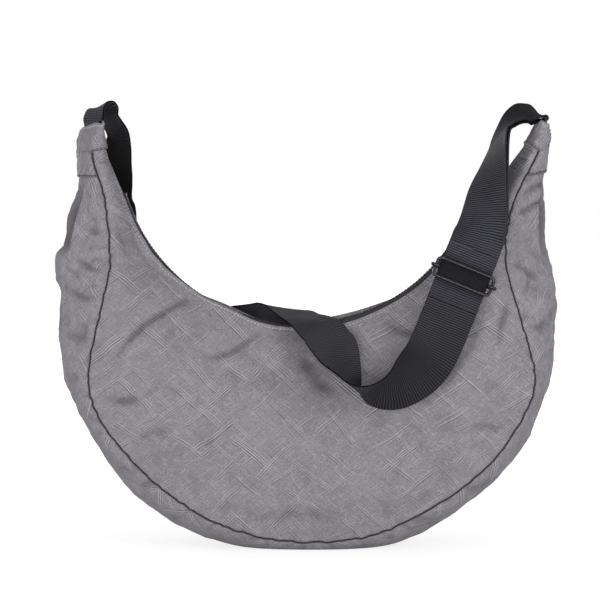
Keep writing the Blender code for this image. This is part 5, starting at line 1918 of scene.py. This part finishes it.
def strap_ribbon():
    """One length of webbing from the left tip, through the adjuster, round the
    ring at the right tip and back down to the adjuster's centre bar."""
    strap = Ribbon()
    middle, run, across = adjuster_axes()
    places, acrosses = route(STRAP_START_ROUTE)
    tip = cut(0).core()
    sunk = (cut(COLLAR_SPAN).core() - tip).normalized() * STRAP_SEWN_DEPTH
    tip_across = cut(0).back_seam - cut(0).front_seam
    places += [middle + run * STRAIGHT_BELOW, middle - run * STRAIGHT_ABOVE]
    acrosses += [across, across]
    low = len(places) - 2
    upper_places, upper_acrosses = route(STRAP_END_ROUTE)
    places += upper_places
    acrosses += upper_acrosses
    strap.add(tip + sunk, tip_across)
    strap.add(tip + sunk / 2, tip_across)
    strap.add(tip, tip_across)
    last = len(places) - 1
    outward_run = []
    for step in range(last * STRAP_STEPS + 1):
        position = step / STRAP_STEPS
        if low < position < low + 1:
            continue
        way = smooth(acrosses, position).normalized()
        if low <= position <= low + 1:
            way = across
        place = smooth(places, position)
        if position == low + 1:
            strap.add(place + run * STRAIGHT_EASE, across)
        strap.add(place, way)
        if position == low:
            strap.add(place - run * STRAIGHT_EASE, across)
        if position >= low + 1:
            outward_run.append((place, way))
    ring = ring_middle()
    wrap = RING_WIRE_RADIUS + RING_GAP + STRAP_THICKNESS / 2
    for step in range(WRAP_STEPS + 1):
        turn = math.radians(WRAP_START_DEG + (WRAP_END_DEG - WRAP_START_DEG) * step / WRAP_STEPS)
        place = ring + Vector((wrap * math.cos(turn), 0, wrap * math.sin(turn)))
        strap.add(place, (0, -1, 0), keep=True)
    back = Ribbon()
    for place, way in outward_run:
        back.add(place, way)
    returned = [(place + face * RETURN_LIFT, way) for place, way, face in back.squared()[::-1]]
    for place, way in returned[1:-1]:
        strap.add(place, way, keep=True)
    face = run.cross(across)
    behind = face if face.y > 0 else -face
    for up in (STRAIGHT_ABOVE, STRAIGHT_ABOVE - STRAIGHT_EASE, RETURN_END):
        strap.add(middle - run * up + behind * RETURN_LIFT, across)
    return strap


def build_strap():
    piece, length = webbing("shoulder_strap_webbing", strap_ribbon(), STRAP_WIDTH,
                            STRAP_THICKNESS, ["shoulder_strap"])


def wire_rectangle(half_width, half_height, corner, steps=10):
    """A rectangle's middle line with rounded corners, as (across, up) pairs."""
    line = []
    for sign_x, sign_y, start in ((1, 1, 0), (-1, 1, 90), (-1, -1, 180), (1, -1, 270)):
        for step in range(steps + 1):
            turn = math.radians(start + 90 * step / steps)
            line.append((sign_x * (half_width - corner) + corner * math.cos(turn),
                         sign_y * (half_height - corner) + corner * math.sin(turn)))
    return line


def build_adjuster():
    """A wire frame in front of the webbing, on a centre bar behind it."""
    middle, run, across = adjuster_axes()
    face = run.cross(across)
    front = face if face.y < 0 else -face
    radius = ADJUSTER_WIRE_RADIUS
    half_width = STRAP_WIDTH / 2 + ADJUSTER_SIDE_GAP + radius
    half_height = ADJUSTER_HEIGHT / 2 - radius
    lift = STRAP_THICKNESS / 2 + METAL_GAP + radius
    outline = wire_rectangle(half_width, half_height, ADJUSTER_CORNER)
    points = [middle + across * a - run * b + front * lift for a, b in outline]
    wire("adjuster_frame_wire", points, radius, ["adjuster_frame"], "adjuster", cyclic=True)
    hem = -(STRAP_THICKNESS + METAL_GAP)
    behind = hem - STRAP_THICKNESS / 2 - METAL_GAP - radius
    gap = 2 * radius + METAL_GAP
    curl = []
    for step in range(25):
        turn = math.radians(-90 + 250 * step / 24)
        curl.append((half_width + gap * math.cos(turn), lift + gap * math.sin(turn)))
    right = [(half_width - gap, behind)] + curl
    left = [(-a, b) for a, b in right[::-1]]
    points = [middle + across * a + front * b for a, b in left + right]
    wire("adjuster_centre_wire", points, radius, ["adjuster_centre_bar"], "adjuster")
    loop = Ribbon()
    turn_radius = behind - hem
    leg = -(RETURN_LIFT + STRAP_THICKNESS + METAL_GAP)
    path = [(END_HEM_LENGTH, hem), (END_HEM_LENGTH / 2, hem)]
    for step in range(WRAP_STEPS + 1):
        turn = math.pi * step / WRAP_STEPS
        path.append((turn_radius * math.sin(turn), behind - turn_radius * math.cos(turn)))
    path += [(END_HEM_LENGTH, 2 * behind - hem), (RETURN_END, leg), (END_LEG_LENGTH, leg)]
    for up, b in path:
        loop.add(middle - run * up + front * b, across)
    webbing("strap_end_loop_webbing", loop, STRAP_WIDTH, STRAP_THICKNESS,
            ["strap_end_loop"], "adjuster", steps=3)


def build_ring():
    """The ring that the strap turns round, and the tab that holds it."""
    ring = ring_middle()
    radius = RING_WIRE_RADIUS
    half_width = STRAP_WIDTH / 2 + RING_SIDE_GAP + radius
    half_height = RING_HEIGHT / 2 - radius
    middle = ring - Vector((0, 0, half_height))
    outline = wire_rectangle(half_width, half_height, RING_CORNER)
    points = [middle + Vector((0, a, b)) for a, b in outline]
    wire("right_ring_wire", points, radius, ["right_ring"], cyclic=True)
    tab = Ribbon()
    low = middle - Vector((0, 0, half_height))
    wrap = radius + METAL_GAP + TAB_THICKNESS / 2
    down = (cut(LAST - COLLAR_SPAN).core() - cut(LAST).core()).normalized()
    tab.add(low + Vector((-wrap, 0, 0)) + down * TAB_DEPTH, (0, 1, 0))
    for step in range(WRAP_STEPS + 1):
        turn = math.pi - math.pi * step / WRAP_STEPS
        tab.add(low + Vector((wrap * math.cos(turn), 0, wrap * math.sin(turn))), (0, 1, 0))
    tab.add(low + Vector((wrap, 0, 0)) + down * TAB_DEPTH, (0, 1, 0))
    webbing("right_ring_tab_webbing", tab, 2 * TAB_HALF_WIDTH, TAB_THICKNESS,
            ["right_ring_tab"], steps=3)


# ------------------------------------------------------------------- the stage

def white_to_lens(tree, shader, strength, output, share):
    """Mixes in plain white where the lens looks at it."""
    path = tree.add("ShaderNodeLightPath")
    seen = tree.times(path.outputs["Is Camera Ray"], share)
    glow = tree.add("ShaderNodeEmission", inputs={"Color": (1, 1, 1, 1), "Strength": strength})
    mixed = tree.add("ShaderNodeMixShader")
    tree.feed(mixed.inputs[0], seen)
    tree.feed(mixed.inputs[1], shader)
    tree.feed(mixed.inputs[2], glow.outputs[0])
    tree.feed(output, mixed.outputs[0])


def floor_finish(colour):
    made = bpy.data.materials.new("pale_floor")
    made.use_nodes = True
    tree = Tree(made.node_tree)
    shader = made.node_tree.nodes["Principled BSDF"]
    place = object_place(tree)
    grain = tree.noise(place, 0.02, 3.0)
    dark = toned(colour, 0.985)
    tree.feed(shader.inputs["Base Color"], tree.mix(grain, (*colour, 1), dark))
    shader.inputs["Roughness"].default_value = 0.9
    shader.inputs["Specular IOR Level"].default_value = 0.1
    output = made.node_tree.nodes["Material Output"]
    far = tree.vector("LENGTH", place)
    share = tree.remap(far, 350.0, 900.0, 0.62, 1.0)
    white_to_lens(tree, shader.outputs[0], 1.28, output.inputs["Surface"], share)
    return made


FLOOR_HALF = 4000 * MM


def build_floor():
    settings = bpy.context.scene.bag_stage
    bm = bmesh.new()
    bmesh.ops.create_grid(bm, x_segments=8, y_segments=8, size=FLOOR_HALF)
    mesh = mesh_from(bm, "floor")
    floor = bpy.data.objects.new("floor", mesh)
    floor.location = (0, 0, -0.3 * MM)
    bpy.context.scene.collection.objects.link(floor)
    mesh.materials.append(floor_finish(settings.floor_colour))
    world = bpy.data.worlds.new("studio")
    world.use_nodes = True
    tree = Tree(world.node_tree)
    back = world.node_tree.nodes["Background"]
    back.inputs["Color"].default_value = (1, 1, 1, 1)
    back.inputs["Strength"].default_value = settings.world_strength
    seen = tree.add("ShaderNodeLightPath").outputs["Is Camera Ray"]
    white = tree.add("ShaderNodeBackground", inputs={"Color": (1, 1, 1, 1), "Strength": 1.0})
    mixed = tree.add("ShaderNodeMixShader")
    tree.feed(mixed.inputs[0], seen)
    tree.feed(mixed.inputs[1], back.outputs[0])
    tree.feed(mixed.inputs[2], white.outputs[0])
    tree.feed(world.node_tree.nodes["World Output"].inputs["Surface"], mixed.outputs[0])
    bpy.context.scene.world = world
    bpy.context.scene.view_settings.view_transform = "Standard"


def add_light(name, place, power, width, height):
    light = bpy.data.lights.new(name, "AREA")
    light.shape = "RECTANGLE"
    light.size, light.size_y = width, height
    light.energy = power
    made = bpy.data.objects.new(name, light)
    made.location = place
    aim = Vector((0, 0, 0.2)) - Vector(place)
    made.rotation_euler = aim.to_track_quat("-Z", "Y").to_euler()
    bpy.context.scene.collection.objects.link(made)


def build_lights():
    settings = bpy.context.scene.bag_stage
    add_light("key", (1.5, -1.4, 1.0), settings.key_power, 0.5, 0.5)
    add_light("fill", (-1.4, -1.4, 0.4), settings.fill_power, 0.9, 0.9)
    add_light("low fill", (0.1, -1.7, 0.08), settings.low_power, 1.6, 0.14)
    add_light("rear fill", (-0.4, 1.9, 0.25), settings.rear_power, 1.2, 0.4)


LENS_TRIM = 1.011
AIM_SHIFT_PX = 0.9


def build_camera():
    settings = bpy.context.scene.bag_stage
    lens = bpy.data.cameras.new("camera")
    camera = bpy.data.objects.new("camera", lens)
    bpy.context.scene.collection.objects.link(camera)
    lens.angle = 2 * math.atan(FRAME_PX / 2 * PX / VIEW_DISTANCE / LENS_TRIM)
    lens.shift_y = settings.lens_shift
    below = FRAME_PX / 2 - EYE_ROW_PX - AIM_SHIFT_PX + settings.lens_shift * FRAME_PX
    pitch = math.atan(below * PX / VIEW_DISTANCE)
    camera.location = ((VIEW_COLUMN_PX - BASE_COLUMN_PX) * PX, -VIEW_DISTANCE, EYE_HEIGHT)
    camera.rotation_euler = (math.pi / 2 - pitch, 0, 0)
    bpy.context.scene.camera = camera


# ------------------------------------------------------------------- operators

class BAG_OT_finishes(bpy.types.Operator):
    """Makes the materials of cloth, webbing, metal, zip and thread"""

    bl_idname = "bag.finishes"
    bl_label = "Make finishes"

    def execute(self, context):
        make_finishes()
        return {"FINISHED"}


class BAG_OT_body(bpy.types.Operator):
    """Builds the front and back panels and the gusset between them"""

    bl_idname = "bag.body"
    bl_label = "Build body cloth"

    def execute(self, context):
        build_panels()
        build_gusset()
        return {"FINISHED"}


class BAG_OT_linings(bpy.types.Operator):
    """Builds the black lining inside the bag"""

    bl_idname = "bag.linings"
    bl_label = "Build linings"

    def execute(self, context):
        build_linings()
        return {"FINISHED"}


class BAG_OT_seams(bpy.types.Operator):
    """Builds the piping in the seams and the stitching of the hems"""

    bl_idname = "bag.seams"
    bl_label = "Build piping and stitching"

    def execute(self, context):
        build_piping()
        build_hem_stitching()
        return {"FINISHED"}


class BAG_OT_collars(bpy.types.Operator):
    """Builds the sewn sleeves and facings of both tips"""

    bl_idname = "bag.collars"
    bl_label = "Build collars"

    def execute(self, context):
        build_collars()
        build_collar_seam()
        return {"FINISHED"}


class BAG_OT_zip(bpy.types.Operator):
    """Builds the zip's tapes, teeth, stops, slider and pull"""

    bl_idname = "bag.zip"
    bl_label = "Build zip"

    def execute(self, context):
        build_tapes()
        build_teeth()
        build_slider()
        return {"FINISHED"}


class BAG_OT_strap(bpy.types.Operator):
    """Builds the webbing of the shoulder strap"""

    bl_idname = "bag.strap"
    bl_label = "Build shoulder strap"

    def execute(self, context):
        build_strap()
        return {"FINISHED"}


class BAG_OT_metal(bpy.types.Operator):
    """Builds the strap's adjuster and the ring at the right tip"""

    bl_idname = "bag.metal"
    bl_label = "Build adjuster and ring"

    def execute(self, context):
        build_adjuster()
        build_ring()
        return {"FINISHED"}


class BAG_OT_stage(bpy.types.Operator):
    """Builds the floor, the lights and the camera"""

    bl_idname = "bag.stage"
    bl_label = "Build stage"

    def execute(self, context):
        build_floor()
        build_lights()
        build_camera()
        return {"FINISHED"}


STEPS = (BAG_OT_finishes, BAG_OT_stage, BAG_OT_body, BAG_OT_linings, BAG_OT_seams,
         BAG_OT_collars, BAG_OT_zip, BAG_OT_metal, BAG_OT_strap)


class BAG_PT_panel(bpy.types.Panel):
    """Lists the steps that build the bag"""

    bl_idname = "BAG_PT_panel"
    bl_label = "Half moon bag"
    bl_space_type = "VIEW_3D"
    bl_region_type = "UI"
    bl_category = "Bag"

    def draw(self, context):
        for step in STEPS:
            self.layout.operator(step.bl_idname)
        for group in (context.scene.bag_cloth, context.scene.bag_strap,
                      context.scene.bag_zip, context.scene.bag_stage):
            box = self.layout.box()
            for name in group.__annotations__:
                box.prop(group, name)


SETTINGS = {"bag_cloth": BagCloth, "bag_strap": BagStrap, "bag_zip": BagZip, "bag_stage": BagStage}


def register():
    for name, group in SETTINGS.items():
        bpy.utils.register_class(group)
        setattr(bpy.types.Scene, name, PointerProperty(type=group))
    for step in STEPS:
        bpy.utils.register_class(step)
    bpy.utils.register_class(BAG_PT_panel)


def unregister():
    bpy.utils.unregister_class(BAG_PT_panel)
    for step in reversed(STEPS):
        bpy.utils.unregister_class(step)
    for name, group in SETTINGS.items():
        delattr(bpy.types.Scene, name)
        bpy.utils.unregister_class(group)


def main():
    register()
    bpy.ops.bag.finishes()
    bpy.ops.bag.stage()
    bpy.ops.bag.body()
    bpy.ops.bag.linings()
    bpy.ops.bag.seams()
    bpy.ops.bag.collars()
    bpy.ops.bag.zip()
    bpy.ops.bag.metal()
    bpy.ops.bag.strap()


if __name__ == "__main__":
    main()
